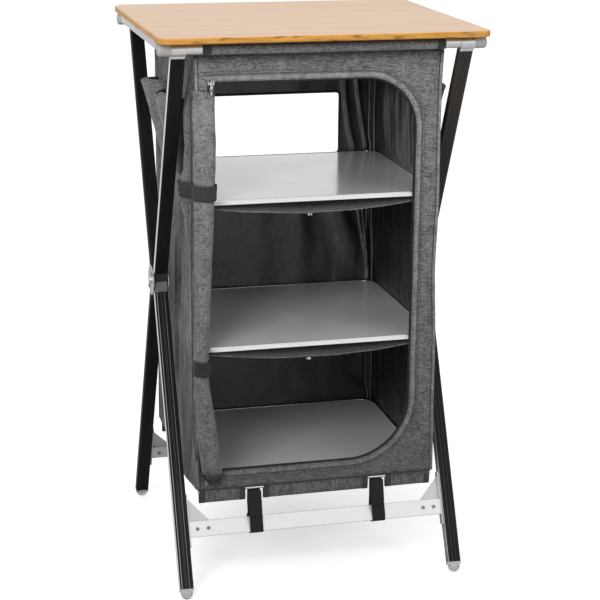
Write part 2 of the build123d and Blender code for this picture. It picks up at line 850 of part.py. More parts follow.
save("front_top_tube", top_tube())
save("rear_top_tube", mirror_y(top_tube()))
save("front_tube_caps", both_sides(tube_cap()))
save("rear_tube_caps", [mirror_y(cap) for cap in both_sides(tube_cap())])
save("front_tube_clamps", both_sides(tube_clamp()))
save("rear_tube_clamps", [mirror_y(clamp) for clamp in both_sides(tube_clamp())])
save("front_crossbar", crossbar())
save("rear_crossbar", mirror_y(crossbar()))
save("front_bar_brackets", both_sides(bar_bracket()))
save("rear_bar_brackets", [mirror_y(piece) for piece in both_sides(bar_bracket())])
save("rivets_a", hub_rivet_list + clamp_rivet_list + [mirror_y(rivet) for rivet in bar_rivet_list])
save("rivets_b", bar_rivet_list + [mirror_y(rivet) for rivet in clamp_rivet_list])
save("front_feet", both_sides(foot()))
save("rear_feet", [mirror_y(piece) for piece in both_sides(foot())])

save("tabletop", tabletop())
save("side_rails", both_sides(side_rail()))

save("front_panel", front_panel())
save("rear_panel", rear_panel())
save("side_panel_right", side_panel())
save("side_panel_left", mirror_x(side_panel()))
save("top_panel", flat_panel(body_top - cloth))
save("floor_panel", flat_panel(floor_low))
save("front_sleeve", sleeve())
save("rear_sleeve", mirror_y(sleeve()))
save("front_hem", hems(-1))
save("rear_hem", hems(1))
save("front_rod", rod(-1))
save("rear_rod", rod(1))
save("front_straps", [strap(-strap_place, -1), strap(strap_place, -1)])
save("rear_straps", [strap(-strap_place, 1), strap(strap_place, 1)])
pockets_right = [pocket(low, high) for low, high in pocket_places]
save("side_pockets", pockets_right + [mirror_x(piece) for piece in pockets_right])

save("door_roll", door_roll())
save("roll_bands", [roll_band(z) for z in band_places])
save("door_zip", door_zip())
for label, x, z in (("upper", upper_slider_x, upper_slider_z), ("lower", lower_slider_x, lower_slider_z)):
    save(f"zip_slider_{label}", zip_slider(x, z))
    save(f"zip_pull_{label}", zip_pull(x, z))

for label, top in zip(("bottom", "middle", "top"), shelf_tops):
    save(f"shelf_board_{label}", shelf_board(top))
    save(f"shelf_rim_{label}", shelf_rim(top))
    if label != "bottom":
        save(f"sling_{label}", [sling(top), sling_zip(top)])
        save(f"sling_slider_{label}", sling_slider(top))
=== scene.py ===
import math

import bpy
import numpy as np
from mathutils import Matrix, Vector, noise


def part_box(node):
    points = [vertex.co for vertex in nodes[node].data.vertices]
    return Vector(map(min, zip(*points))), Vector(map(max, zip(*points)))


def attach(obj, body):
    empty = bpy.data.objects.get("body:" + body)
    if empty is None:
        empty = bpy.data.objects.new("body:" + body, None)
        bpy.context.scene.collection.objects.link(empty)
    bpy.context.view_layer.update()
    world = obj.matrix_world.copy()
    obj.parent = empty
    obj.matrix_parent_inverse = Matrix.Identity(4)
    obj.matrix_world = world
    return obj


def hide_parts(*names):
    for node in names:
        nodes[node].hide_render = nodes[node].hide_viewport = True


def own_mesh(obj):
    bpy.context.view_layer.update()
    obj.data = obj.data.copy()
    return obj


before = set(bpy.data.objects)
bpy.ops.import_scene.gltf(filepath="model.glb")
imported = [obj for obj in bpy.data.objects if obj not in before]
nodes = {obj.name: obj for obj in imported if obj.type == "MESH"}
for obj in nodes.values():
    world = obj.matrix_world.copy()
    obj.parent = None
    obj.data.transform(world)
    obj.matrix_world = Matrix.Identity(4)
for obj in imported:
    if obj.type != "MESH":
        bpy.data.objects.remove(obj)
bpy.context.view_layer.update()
scene = bpy.context.scene

# Sizes are in millimetres here and become metres when a mesh is made
MM = 0.001


def span(node):
    """Lowest and highest corner of a CAD node, in millimetres."""
    low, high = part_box(node)
    return np.array(low) / MM, np.array(high) / MM


def centre(node):
    """Middle of a CAD node's box, in millimetres."""
    return sum(span(node)) / 2


BOARDS = ("bottom", "middle", "top")
wall_low, wall_high = span("front_panel")
HALF = wall_high[0]
FRONT = -wall_low[1]
TOP, LOW = wall_high[2], wall_low[2]
INNER_FRONT = span("side_panel_right")[1][1]
INNER_HALF = span("floor_panel")[1][0]
BOARD_HALF = span("shelf_rim_middle")[1][0]
BOARD_TOPS = [span(f"shelf_board_{place}")[1][2] for place in BOARDS]
TUBE = centre("front_top_tube")
ROD_Y, ROD_Z = -centre("front_rod")[1], centre("front_rod")[2]
CLOTH = 1.1


# Materials

# At this scale a wave texture has about one rib per unit
RIB_SCALE = 0.31831


def add_node(tree, kind, inputs, **settings):
    """A shader node with its settings, and its inputs either linked or set."""
    made = tree.nodes.new("ShaderNode" + kind)
    for name, value in settings.items():
        setattr(made, name, value)
    for socket, value in inputs.items():
        if isinstance(value, bpy.types.NodeSocket):
            tree.links.new(value, made.inputs[socket])
        else:
            made.inputs[socket].default_value = value
    return made


class Paint:
    """A procedural material. Its patterns lie in the piece's own coordinates, in metres."""

    def __init__(self, name, **sockets):
        self.material = bpy.data.materials.new(name)
        self.material.use_nodes = True
        self.tree = self.material.node_tree
        self.shader = self.tree.nodes["Principled BSDF"]
        for socket, value in sockets.items():
            self.shader.inputs[socket.replace("_", " ")].default_value = value
        self.place = self.node("TexCoord", {}).outputs["Object"]
        self.relief = None

    def node(self, kind, inputs, **settings):
        return add_node(self.tree, kind, inputs, **settings)

    def math(self, operation, *values):
        return self.node("Math", dict(enumerate(values)), operation=operation).outputs[0]

    def axes(self, vector):
        """The X, Y and Z sockets of a vector."""
        return self.node("SeparateXYZ", {"Vector": vector}).outputs

    def facing(self, axis):
        """How far the surface faces along an axis, from -1 to 1."""
        return self.axes(self.node("NewGeometry", {}).outputs["Normal"])[axis]

    def noise(self, stretch, detail=3.0, rough=0.55, shift=0.0):
        """Noise from 0 to 1, with its number of cells per metre along X, Y and Z."""
        place = self.node("Mapping", {"Vector": self.place, "Scale": stretch, "Location": (shift, shift, shift)})
        made = self.node("TexNoise", {"Vector": place.outputs[0], "Scale": 1.0, "Detail": detail,
                                      "Roughness": rough})
        return made.outputs["Fac"]

    def wave(self, axis, per_metre):
        """Ribs from 0 to 1 along an axis."""
        place = self.node("Mapping", {"Vector": self.place, "Scale": (per_metre, per_metre, per_metre)})
        made = self.node("TexWave", {"Vector": place.outputs[0], "Scale": RIB_SCALE}, bands_direction=axis)
        return made.outputs["Fac"]

    def remap(self, value, low, high, to_low=0.0, to_high=1.0):
        made = self.node("MapRange", {"Value": value, "From Min": low, "From Max": high, "To Min": to_low,
                                      "To Max": to_high})
        return made.outputs["Result"]

    def sums(self, *parts):
        """Weighted sum of sockets, given as (socket, weight) pairs."""
        total = None
        for socket, weight in parts:
            term = self.times(socket, weight)
            total = term if total is None else self.math("ADD", total, term)
        return total

    def times(self, *factors):
        product = factors[0]
        for factor in factors[1:]:
            product = self.math("MULTIPLY", product, factor)
        return product

    def colours(self, value, stops):
        ramp = self.node("ValToRGB", {"Fac": value})
        while len(ramp.color_ramp.elements) < len(stops):
            ramp.color_ramp.elements.new(0.5)
        for element, (place, colour) in zip(ramp.color_ramp.elements, stops):
            element.position = place
            element.color = (*colour, 1.0)
        return ramp.outputs["Color"]

    def mix(self, factor, first, second, how="MIX"):
        """Blends two colours, each a socket or three numbers."""
        first, second = (end if isinstance(end, bpy.types.NodeSocket) else (*end, 1.0) for end in (first, second))
        made = self.node("Mix", {0: factor, 6: first, 7: second}, data_type="RGBA", blend_type=how)
        return made.outputs[2]

    def shaded(self, colour, shade):
        """The colour times a grey factor."""
        factor = self.node("CombineColor", {0: shade, 1: shade, 2: shade}).outputs[0]
        return self.mix(1.0, colour, factor, "MULTIPLY")

    def painted_shade_by_height(self, colour, *levels):
        """Painted shade: the colour darker towards the ground, and painted light where a factor is above 1; levels
        are two heights and the factors at them.
        """
        return self.shaded(colour, self.remap(self.axes(self.place)[2], *levels))

    def bump(self, height, distance, strength=1.0):
        inputs = {"Height": height, "Distance": distance, "Strength": strength}
        if self.relief is not None:
            inputs["Normal"] = self.relief
        self.relief = self.node("Bump", inputs).outputs["Normal"]

    def drive(self, socket, value):
        self.tree.links.new(value, self.shader.inputs[socket])

    def finish(self, colour, roughness=None):
        self.drive("Base Color", colour)
        if roughness is not None:
            self.drive("Roughness", roughness)
        if self.relief is not None:
            self.drive("Normal", self.relief)
        return self.material


def grey(value, warm=0.0):
    return (value * (1 + warm), value, value * (1 - warm))


def fabric(name, dark, light, across=0.5, upright=0.3, worn=0.0):
    """Heather cloth: short pale and dark streaks, mostly level, over a fine weave; painted shade darker near the
    ground and painted light at the top, and painted shade in folds and hollows.
    """
    paint = Paint(name, Roughness=0.9, Sheen_Weight=0.25, Sheen_Roughness=0.45, Specular_IOR_Level=0.25)
    streaks = paint.noise((110, 110, 820), 3.0, 0.6)
    threads = paint.noise((820, 820, 110), 3.0, 0.6, 4.0)
    cloudy = paint.noise((44, 44, 34), 3.0, 0.6, 9.0)
    cloud_share = 0.18
    mixed = paint.sums((streaks, across), (threads, upright), (cloudy, cloud_share))
    total = across + upright + cloud_share
    value = paint.remap(mixed, 0.38 * total, 0.62 * total)
    colour = paint.colours(value, [(0.0, grey(dark)), (0.45, grey((dark + light) / 2.2)), (1.0, grey(light))])
    # Painted shade and light: darker towards the ground, lighter at the top
    colour = paint.painted_shade_by_height(colour, 0.2, 0.98, 0.66, 1.3)
    # Painted shade: darker in folds, seams and hollows, from ambient occlusion
    occlusion_shade = paint.node("AmbientOcclusion", {"Distance": 0.045}, samples=6).outputs["AO"]
    colour = paint.shaded(colour, paint.remap(occlusion_shade, 0.35, 0.95, 0.3, 1.06))
    if worn:
        patches = paint.noise((9, 9, 6), 2.0, 0.5, 2.0)
        colour = paint.mix(paint.remap(patches, 0.35, 0.65, 0.0, worn), colour, grey(dark))
    weave = paint.times(paint.wave("X", 1250), paint.wave("Z", 1250))
    paint.bump(weave, 0.0002, 0.35)
    paint.bump(mixed, 0.0005, 0.5)
    paint.bump(paint.noise((16, 16, 12), 2.0, 0.5, 6.0), 0.004, 0.35)
    return paint.finish(colour)


def lining_cloth(name, dark, light):
    """The black coated back of the cloth, with a soft shine and small creases, and painted shade darker towards the
    ground.
    """
    paint = Paint(name, Roughness=0.36, Specular_IOR_Level=0.6, Coat_Weight=0.2, Coat_Roughness=0.26)
    creases = paint.noise((13, 13, 9), 3.0, 0.5)
    small = paint.noise((60, 60, 45), 3.0, 0.55, 5.0)
    colour = paint.colours(creases, [(0.3, grey(dark, 0.05)), (0.75, grey(light, 0.05))])
    # Painted shade: darker towards the ground
    colour = paint.painted_shade_by_height(colour, 0.25, 0.7, 0.4, 1.0)
    roughness = paint.remap(paint.noise((60, 60, 60), 3.0, 0.6, 3.0), 0.3, 0.7, 0.3, 0.45)
    paint.bump(creases, 0.010, 0.5)
    paint.bump(small, 0.0012, 0.5)
    paint.bump(paint.times(paint.wave("Y", 1400), paint.wave("Z", 1400)), 0.0001, 0.3)
    return paint.finish(colour, roughness)


def webbing():
    """Black woven tape: ribs across it and a fine twill, with painted shade darker towards the ground."""
    paint = Paint("webbing_black", Roughness=0.75, Sheen_Weight=0.08, Specular_IOR_Level=0.25)
    ribs = paint.wave("Z", 900)
    cross = paint.wave("X", 1300)
    value = paint.noise((400, 400, 500), 3.0, 0.6)
    colour = paint.colours(value, [(0.3, grey(0.022)), (0.7, grey(0.05))])
    # Painted shade: darker towards the ground
    colour = paint.painted_shade_by_height(colour, 0.15, 0.76, 0.22, 1.1)
    paint.bump(paint.times(ribs, cross), 0.0003, 0.6)
    return paint.finish(colour)


def binding_cloth():
    """Darker plain cloth of the bound edges and sleeve ends."""
    paint = Paint("binding_dark", Roughness=0.85, Sheen_Weight=0.2, Specular_IOR_Level=0.3)
    value = paint.noise((700, 700, 700), 2.0, 0.6)
    colour = paint.colours(value, [(0.3, grey(0.022)), (0.7, grey(0.05))])
    paint.bump(value, 0.0003, 0.5)
    return paint.finish(colour)


def thread():
    paint = Paint("thread_dark", Roughness=0.7, Sheen_Weight=0.3)
    value = paint.noise((2500, 2500, 2500), 1.0)
    return paint.finish(paint.colours(value, [(0.3, grey(0.012)), (0.7, grey(0.03))]))


def zip_black():
    """Zip tape with its coil; the ribs run across the tape on every side of the opening."""
    paint = Paint("zip_black", Roughness=0.55, Specular_IOR_Level=0.5)
    value = paint.noise((500, 500, 500), 2.0)
    colour = paint.colours(value, [(0.3, grey(0.010)), (0.7, grey(0.022))])
    ribs = paint.sums((paint.wave("X", 2200), 0.5), (paint.wave("Z", 2200), 0.5))
    paint.bump(ribs, 0.0004, 0.7)
    return paint.finish(colour)


def bamboo():
    """Pressed bamboo: long pale strips with fine grain and small darker knots; edges are richer."""
    paint = Paint("bamboo_board", Roughness=0.42, Specular_IOR_Level=0.4, Coat_Weight=0.15, Coat_Roughness=0.25)
    strips = paint.noise((0.9, 52, 0.9), 2.0, 0.7)
    grain = paint.noise((7, 420, 60), 4.0, 0.65, 3.0)
    knots = paint.noise((24, 150, 24), 2.0, 0.5, 11.0)
    mixed = paint.sums((strips, 0.55), (grain, 0.45))
    faces = [(0.34, (0.635, 0.39, 0.222)), (0.5, (0.71, 0.474, 0.296)), (0.66, (0.765, 0.545, 0.368))]
    face = paint.mix(paint.remap(knots, 0.665, 0.72, 0.0, 0.6), paint.colours(mixed, faces), (0.44, 0.22, 0.09))
    side_grain = paint.noise((9, 9, 330), 4.0, 0.6, 7.0)
    side_marks = paint.noise((30, 30, 170), 2.0, 0.5, 2.0)
    sides = [(0.3, (0.46, 0.18, 0.022)), (0.5, (0.70, 0.33, 0.055)), (0.75, (0.82, 0.44, 0.105))]
    side_mark = paint.remap(side_marks, 0.57, 0.68, 0.0, 0.7)
    side = paint.mix(side_mark, paint.colours(side_grain, sides), (0.24, 0.075, 0.012))
    colour = paint.mix(paint.remap(paint.facing(2), 0.55, 0.93), side, face)
    roughness = paint.remap(grain, 0.3, 0.7, 0.36, 0.5)
    paint.bump(grain, 0.0003, 0.35)
    return paint.finish(colour, roughness)


# Legs, in metres: distance from the middle, height of the hub's lower edge and of the pivot, and lean
LEG_MIDDLE, HUB_EDGE, PIVOT_HEIGHT = 0.262, 0.53, 0.547
LEG_SINE, LEG_COSINE = 0.4192, 0.9079
# Painted highlight lines on the front of the lower legs, along groove and face edges: their place along X and their
# brightness
LEG_HIGHLIGHT_LINES = ((-0.2708, 0.5), (-0.2650, 0.05), (-0.2622, 0.1), (-0.2568, 0.32), (0.2502, 0.65), (0.2590, 0.06),
             (0.2665, 0.05))


def anodised(name, dark, light):
    """Dark anodised extrusion: fine drawn lines; painted highlights along the groove edges, painted near-black shade
    on the groove walls, a painted lighter tone on the right front upper legs, a near-white painted reflection on the
    front edge of the outer sides, and bright front edges on the inner sides of the lower legs.
    """
    paint = Paint(name, Roughness=0.42)
    drawn = paint.noise((900, 60, 14), 3.0, 0.6)
    patches = paint.noise((20, 20, 5), 2.0, 0.5, 5.0)
    value = paint.sums((drawn, 0.6), (patches, 0.4))
    colour = paint.colours(value, [(0.35, dark), (0.7, light)])
    x, y, z = paint.axes(paint.place)
    low = paint.math("LESS_THAN", z, HUB_EDGE)
    front = paint.math("LESS_THAN", y, 0.0)
    # Painted highlights along the groove and face edges of the lower front legs
    lines = None
    for at, strength in LEG_HIGHLIGHT_LINES:
        away = paint.math("ABSOLUTE", paint.math("SUBTRACT", x, at))
        line = paint.remap(away, 0.0002, 0.0008, strength, 0.0)
        lines = line if lines is None else paint.math("MAXIMUM", lines, line)
    # Painted light: the front upper legs take a lighter brown tone towards the right
    bronze_painted_light = paint.times(paint.remap(x, -0.1, 0.3), paint.remap(z, HUB_EDGE, 0.56), front)
    colour = paint.mix(bronze_painted_light, colour, (0.058, 0.050, 0.043))
    colour = paint.mix(paint.times(lines, low, front), colour, grey(0.75))
    facing = paint.facing(0)
    outward = paint.times(facing, paint.math("SIGN", x))
    off_middle = paint.math("ABSOLUTE", paint.math("SUBTRACT", paint.math("ABSOLUTE", x), LEG_MIDDLE))
    shaded_groove_wall = paint.times(paint.remap(paint.math("ABSOLUTE", facing), 0.3, 0.5),
                              paint.remap(off_middle, 0.0105, 0.009))
    # Painted shade: the groove walls are near black
    colour = paint.mix(shaded_groove_wall, colour, grey(0.002))
    # Depth across the leaning leg, from its pivot's plane; its front edge is the bright part of its sides: a
    # near-white painted reflection on the outer sides, and a grey band on the inner sides of the lower legs
    climb = paint.math("ABSOLUTE", paint.math("SUBTRACT", z, PIVOT_HEIGHT))
    depth = paint.math("ADD", paint.times(y, LEG_COSINE), paint.times(climb, LEG_SINE))
    open_face = paint.remap(shaded_groove_wall, 0.0, 1.0, 1.0, 0.0)
    edge = paint.times(paint.remap(depth, -0.0045, -0.0055), front, open_face)
    outer = paint.times(paint.remap(outward, 0.8, 0.95), edge)
    inner = paint.times(paint.remap(outward, -0.8, -0.95), edge, low)
    # Painted reflection: the front edge of the outer sides is near white
    colour = paint.mix(outer, colour, grey(0.98))
    stripe = paint.remap(paint.noise((3, 160, 3), 2.0, 0.6, 8.0), 0.40, 0.52, 0.35, 0.9)
    colour = paint.mix(paint.times(inner, stripe), colour, grey(0.45))
    paint.drive("Specular IOR Level", paint.remap(shaded_groove_wall, 0.0, 1.0, 0.14, 0.0))
    paint.drive("Metallic", paint.remap(paint.math("MAXIMUM", shaded_groove_wall, outer), 0.0, 1.0, 0.16, 0.0))
    paint.bump(drawn, 0.0001, 0.4)
    return paint.finish(colour, paint.remap(drawn, 0.3, 0.7, 0.36, 0.5))


def silver(name, level, rough, stretch):
    """Satin silver metal with drawn lines."""
    paint = Paint(name, Metallic=1.0, Roughness=rough)
    drawn = paint.noise(stretch, 3.0, 0.6)
    scuffs = paint.noise((60, 60, 60), 3.0, 0.6, 5.0)
    value = paint.sums((drawn, 0.6), (scuffs, 0.4))
    colour = paint.colours(value, [(0.3, grey(level * 0.9)), (0.7, grey(level))])
    roughness = paint.remap(value, 0.35, 0.65, rough - 0.06, rough + 0.06)
    paint.bump(drawn, 0.00008, 0.4)
    return paint.finish(colour, roughness)


def plastic(name, dark, light, rough, **sockets):
    """Moulded plastic with a fine spark-eroded grain."""
    paint = Paint(name, Roughness=rough, **sockets)
    grain = paint.noise((1500, 1500, 1500), 2.0, 0.6)
    patches = paint.noise((40, 40, 40), 2.0, 0.5, 3.0)
    value = paint.sums((grain, 0.5), (patches, 0.5))
    colour = paint.colours(value, [(0.35, dark), (0.65, light)])
    roughness = paint.remap(patches, 0.3, 0.7, rough - 0.05, rough + 0.05)
    paint.bump(grain, 0.0002, 0.35)
    return paint.finish(colour, roughness)


def bright_chrome():
    """Die-cast chrome of the zip sliders: bright, with dark painted reflections in patches over a polished, uneven
    casting.
    """
    paint = Paint("zip_bright", Metallic=0.85, Roughness=0.16)
    relief_and_painted_reflections = paint.noise((420, 420, 240), 2.0, 0.5, 4.0)
    # Painted reflections: dark patches in the chrome's colour
    colour = paint.colours(relief_and_painted_reflections, [(0.43, grey(0.015)), (0.5, grey(0.95))])
    paint.bump(relief_and_painted_reflections, 0.0003, 0.6)
    return paint.finish(colour, paint.remap(relief_and_painted_reflections, 0.3, 0.7, 0.3, 0.12))


def shelf_face():
    """Satin silver-grey foil on the shelf boards."""
    paint = Paint("shelf_foil", Metallic=0.22, Roughness=0.22, Coat_Weight=0.6, Coat_Roughness=0.1)
    brushed = paint.noise((260, 260, 260), 3.0, 0.6)
    cloudy = paint.noise((10, 10, 10), 2.0, 0.5, 4.0)
    value = paint.sums((brushed, 0.6), (cloudy, 0.4))
    colour = paint.colours(value, [(0.35, grey(0.89, 0.012)), (0.7, grey(0.97, 0.012))])
    roughness = paint.remap(cloudy, 0.35, 0.65, 0.2, 0.26)
    paint.bump(brushed, 0.00002, 0.2)
    return paint.finish(colour, roughness)


HEATHER = fabric("heather_cloth", 0.035, 0.275)
HEM_HEATHER = fabric("heather_hem", 0.034, 0.27, 0.16, 0.62)
BOUND_HEATHER = fabric("heather_binding", 0.085, 0.36, 0.3, 0.3)
ROLL_HEATHER = fabric("heather_roll", 0.04, 0.295, 0.36, 0.4)
SIDE_HEATHER = fabric("heather_side", 0.032, 0.27, 0.4, 0.35, 0.15)
LINING = lining_cloth("coated_back", 0.020, 0.046)
# Painted shade: a very dark copy of the coated back, for the roll's back and its inner turns
ROLL_INSIDE_SHADED = lining_cloth("coated_roll_shaded", 0.004, 0.010)
# Painted highlight: a pale copy of the coated back for the edges of the inner corner seams
LINING_SEAM_HIGHLIGHT = lining_cloth("coated_seam_highlight", 0.22, 0.36)
WEBBING = webbing()
BINDING = binding_cloth()
THREAD = thread()
ZIP = zip_black()
BAMBOO = bamboo()
ANODISED = anodised("anodised_bronze", (0.007, 0.0062, 0.005), (0.019, 0.017, 0.014))
SILVER = silver("aluminium_satin", 0.70, 0.4, (14, 500, 500))
BAR_SILVER = silver("aluminium_bar", 0.66, 0.5, (14, 500, 500))
RAIL_SILVER = silver("aluminium_rail", 0.78, 0.34, (500, 14, 500))
STEEL = silver("steel_bright", 0.62, 0.24, (300, 300, 300))
# Painted shade: a darker copy of the aluminium for the crossbar brackets
BRACKET_SILVER_SHADED = silver("aluminium_bracket_shaded", 0.5, 0.5, (14, 500, 500))
# Painted shade: the rivets are a darkened steel
RIVET_STEEL_SHADED = silver("steel_rivet_shaded", 0.2, 0.3, (300, 300, 300))
LIP_SILVER = silver("lip_bright", 0.96, 0.2, (300, 300, 300))
RIM = plastic("rim_bright", grey(0.84), grey(0.95), 0.35)
BLACK_PLASTIC = plastic("plastic_black", grey(0.014), grey(0.03), 0.5)
GREY_PLASTIC = plastic("plastic_grey", grey(0.10), grey(0.15), 0.55)
CAP_PLASTIC = plastic("plastic_cap", grey(0.42), grey(0.55), 0.4)
ZIP_BRIGHT = bright_chrome()
# Painted shade: a darkened copy of the slider metal for the lower slider and its pull
ZIP_SHADED = silver("zip_slider_shaded", 0.22, 0.35, (400, 400, 400))
CLEAR_PLASTIC = plastic("plastic_clear", grey(0.62, 0.01), grey(0.8, 0.01), 0.22, Transmission_Weight=0.55,
                        IOR=1.46)
SHELF = shelf_face()


def dress(material, *names):
    """Gives CAD nodes their finish."""
    for name in names:
        piece = nodes[name]
        if not piece.material_slots:
            piece.data.materials.append(None)
        for place in piece.material_slots:
            place.link = "OBJECT"
            place.material = material


dress(BAMBOO, "tabletop")
dress(ANODISED, *[name for name in nodes if name.startswith("leg_")])
dress(SILVER, "front_top_tube", "rear_top_tube", "front_tube_clamps", "rear_tube_clamps", "front_rod", "rear_rod")
dress(BAR_SILVER, "front_crossbar", "rear_crossbar")
dress(BRACKET_SILVER_SHADED, "front_bar_brackets", "rear_bar_brackets")
dress(RAIL_SILVER, "side_rails")
dress(STEEL, "hub_plates", "pivot_bolts")
dress(RIVET_STEEL_SHADED, "rivets_a", "rivets_b")
dress(BLACK_PLASTIC, "hub_a")
dress(GREY_PLASTIC, "hub_b")
dress(CAP_PLASTIC, "front_tube_caps", "rear_tube_caps")
dress(CLEAR_PLASTIC, "front_feet", "rear_feet")
dress(SHELF, *[f"shelf_board_{place}" for place in BOARDS])
dress(RIM, *[f"shelf_rim_{place}" for place in BOARDS])
dress(ZIP_BRIGHT, "zip_slider_upper", "zip_pull_upper", "sling_slider_middle", "sling_slider_top")
dress(ZIP_SHADED, "zip_slider_lower", "zip_pull_lower")


# Mesh helpers


def make(name, points, faces, *materials, smooth=True):
    """A new piece from points in millimetres."""
    data = bpy.data.meshes.new(name)
    data.from_pydata((np.asarray(points, float).reshape(-1, 3) * MM).tolist(), [], faces)
    for material in materials:
        data.materials.append(material)
    data.polygons.foreach_set("use_smooth", [smooth] * len(data.polygons))
    data.update()
    piece = bpy.data.objects.new(name, data)
    scene.collection.objects.link(piece)
    return piece


def quads(rows, columns, wrap_rows=False, wrap_columns=False, turn=False):
    """Faces between the points of a grid that is stored row after row."""
    faces = []
    for i in range(rows if wrap_rows else rows - 1):
        near, far = i * columns, (i + 1) % rows * columns
        for j in range(columns if wrap_columns else columns - 1):
            k = (j + 1) % columns
            face = (near + j, near + k, far + k, far + j)
            faces.append(face[::-1] if turn else face)
    return faces


def thicken(piece, thickness, offset, backing=False):
    """Gives a sheet its thickness; with backing, its other side is the second material."""
    layer = piece.modifiers.new("thickness", "SOLIDIFY")
    layer.thickness = thickness * MM
    layer.offset = offset
    layer.use_even_offset = False
    layer.material_offset = 1 if backing else 0


def points_at(x, y, z):
    """Points from their X, Y and Z, each an array or one number."""
    return np.stack(np.broadcast_arrays(x, y, z), axis=-1).astype(float)


def smoothstep(value, low, high):
    """0 below low, 1 above high and smooth between them."""
    t = np.clip((np.asarray(value, float) - low) / (high - low), 0.0, 1.0)
    return t * t * (3 - 2 * t)


def bump_at(value, place, width):
    """A soft bump, 1 at its place."""
    return np.exp(-(((value - place) / width) ** 2))


def ripple(points, scale, shift=0.0):
    """Smooth noise from about -1 to 1 at each point, with the size of its cells along each axis in mm."""
    scale = np.asarray(scale, float)
    flat = np.asarray(points, float).reshape(-1, 3) / scale + shift
    values = np.array([noise.noise(Vector(p)) for p in flat])
    return values.reshape(np.shape(points)[:-1])


def creases(points, scale, shift=0.0, sharp=2.0):
    """Soft ridges, from 0 to about 1, where the cloth folds."""
    return np.clip(1.0 - np.abs(ripple(points, scale, shift)) * sharp, 0.0, 1.0) ** 2


def inset(z, side=1.0):
    """How far a side wall pulls in between the boards, in mm."""
    places = [LOW - 40, LOW, 330.0, 462.0, 600.0, 735.0, 850.0, 950.0, TOP]
    depths = [-1.0, 0.0, 1.5, 2.0, 7.5, 3.0, 5.0, 5.0, 2.0]
    found = np.interp(z, places, depths)
    for shift in (-18.0, 18.0):
        found = found + np.interp(np.asarray(z) + shift, places, depths)
    return found / 3 * (1.0 if side > 0 else 0.45)


def path_lengths(path, closed=False):
    """Distance along a path at each of its points."""
    steps = np.diff(np.vstack([path, path[:1]]) if closed else path, axis=0)
    return np.concatenate([[0.0], np.cumsum(np.linalg.norm(steps, axis=1))])


def along(path, distances, closed=False):
    """Points at distances along a path of straight runs."""
    total = path_lengths(path, closed)
    whole = np.vstack([path, path[:1]]) if closed else np.asarray(path)
    return np.stack([np.interp(distances, total, whole[:, i]) for i in range(3)], axis=1)


def place_on(piece, body, *replaced, slot="heather_fabric", gather=False):
    """Rides the piece on its body and hides the CAD parts it replaces; on the carcass, or when gathered, the piece
    gets its own mesh; slot is not used.
    """
    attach(piece, body)
    if replaced:
        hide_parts(*replaced)
    if body == "carcass" or gather:
        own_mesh(piece)


def cloth(name, points, materials, thickness, offset, body, *replaced, slot="heather_fabric", gather=False, **wrap):
    """A thick sheet over a grid of points, on its body; a second material goes on its back."""
    points = np.asarray(points)
    piece = make(name, points, quads(*points.shape[:2], **wrap), *materials)
    thicken(piece, thickness, offset, backing=len(materials) > 1)
    place_on(piece, body, *replaced, slot=slot, gather=gather)
    return piece


def pipe(name, path, radius, material, body, slot="heather_fabric", closed=False, sides=8):
    """A thin round cord, lip or coil along a path, on its body."""
    path = np.asarray(path, float)
    count = len(path)
    ahead = np.roll(path, -1, axis=0) if closed else np.vstack([path[1:], 2 * path[-1] - path[-2]])
    behind = np.roll(path, 1, axis=0) if closed else np.vstack([2 * path[0] - path[1], path[:-1]])
    tangent = ahead - behind
    tangent /= np.linalg.norm(tangent, axis=1)[:, None]
    guide = np.array([0.0, 1.0, 0.0]) if abs(tangent[:, 1]).mean() < 0.7 else np.array([1.0, 0.0, 0.0])
    first = np.cross(tangent, guide)
    first /= np.linalg.norm(first, axis=1)[:, None]
    second = np.cross(tangent, first)
    angles = np.linspace(0, 2 * math.pi, sides, endpoint=False)
    ring = np.cos(angles)[None, :, None] * first[:, None] + np.sin(angles)[None, :, None] * second[:, None]
    faces = quads(count, sides, wrap_rows=closed, wrap_columns=True)
    if not closed:
        faces += [tuple(range(sides))[::-1], tuple((count - 1) * sides + j for j in range(sides))]
    place_on(make(name, path[:, None] + radius * ring, faces, material), body, slot=slot)


STITCH = 3.0


def stitches(name, runs, out, body, gap=1.4, radius=0.33):
    """Single stitches along paths on a body's cloth; out is the direction away from it."""
    points, faces = [], []
    out = np.asarray(out, float)
    for path in runs:
        starts = np.arange(gap, path_lengths(path)[-1] - STITCH, STITCH + gap)
        for head, tail in zip(along(path, starts), along(path, starts + STITCH)):
            way = (tail - head) / max(np.linalg.norm(tail - head), 1e-6)
            side = np.cross(way, out)
            middle = (head + tail) / 2
            base = len(points)
            points += [head, tail, middle + side * radius, middle - side * radius, middle + out * radius * 1.3,
                       middle - out * radius]
            for a, b in ((2, 4), (4, 3), (3, 5), (5, 2)):
                faces += [(base, base + a, base + b), (base + 1, base + b, base + a)]
    place_on(make(name, points, faces, THREAD), body)


# Front wall with its D-shaped doorway

DOOR_LEFT, DOOR_RIGHT, DOOR_LOW, DOOR_HIGH = -206.0, 180.0, 226.0, 955.0
RADIUS_HIGH, RADIUS_LOW = 95.0, 118.0


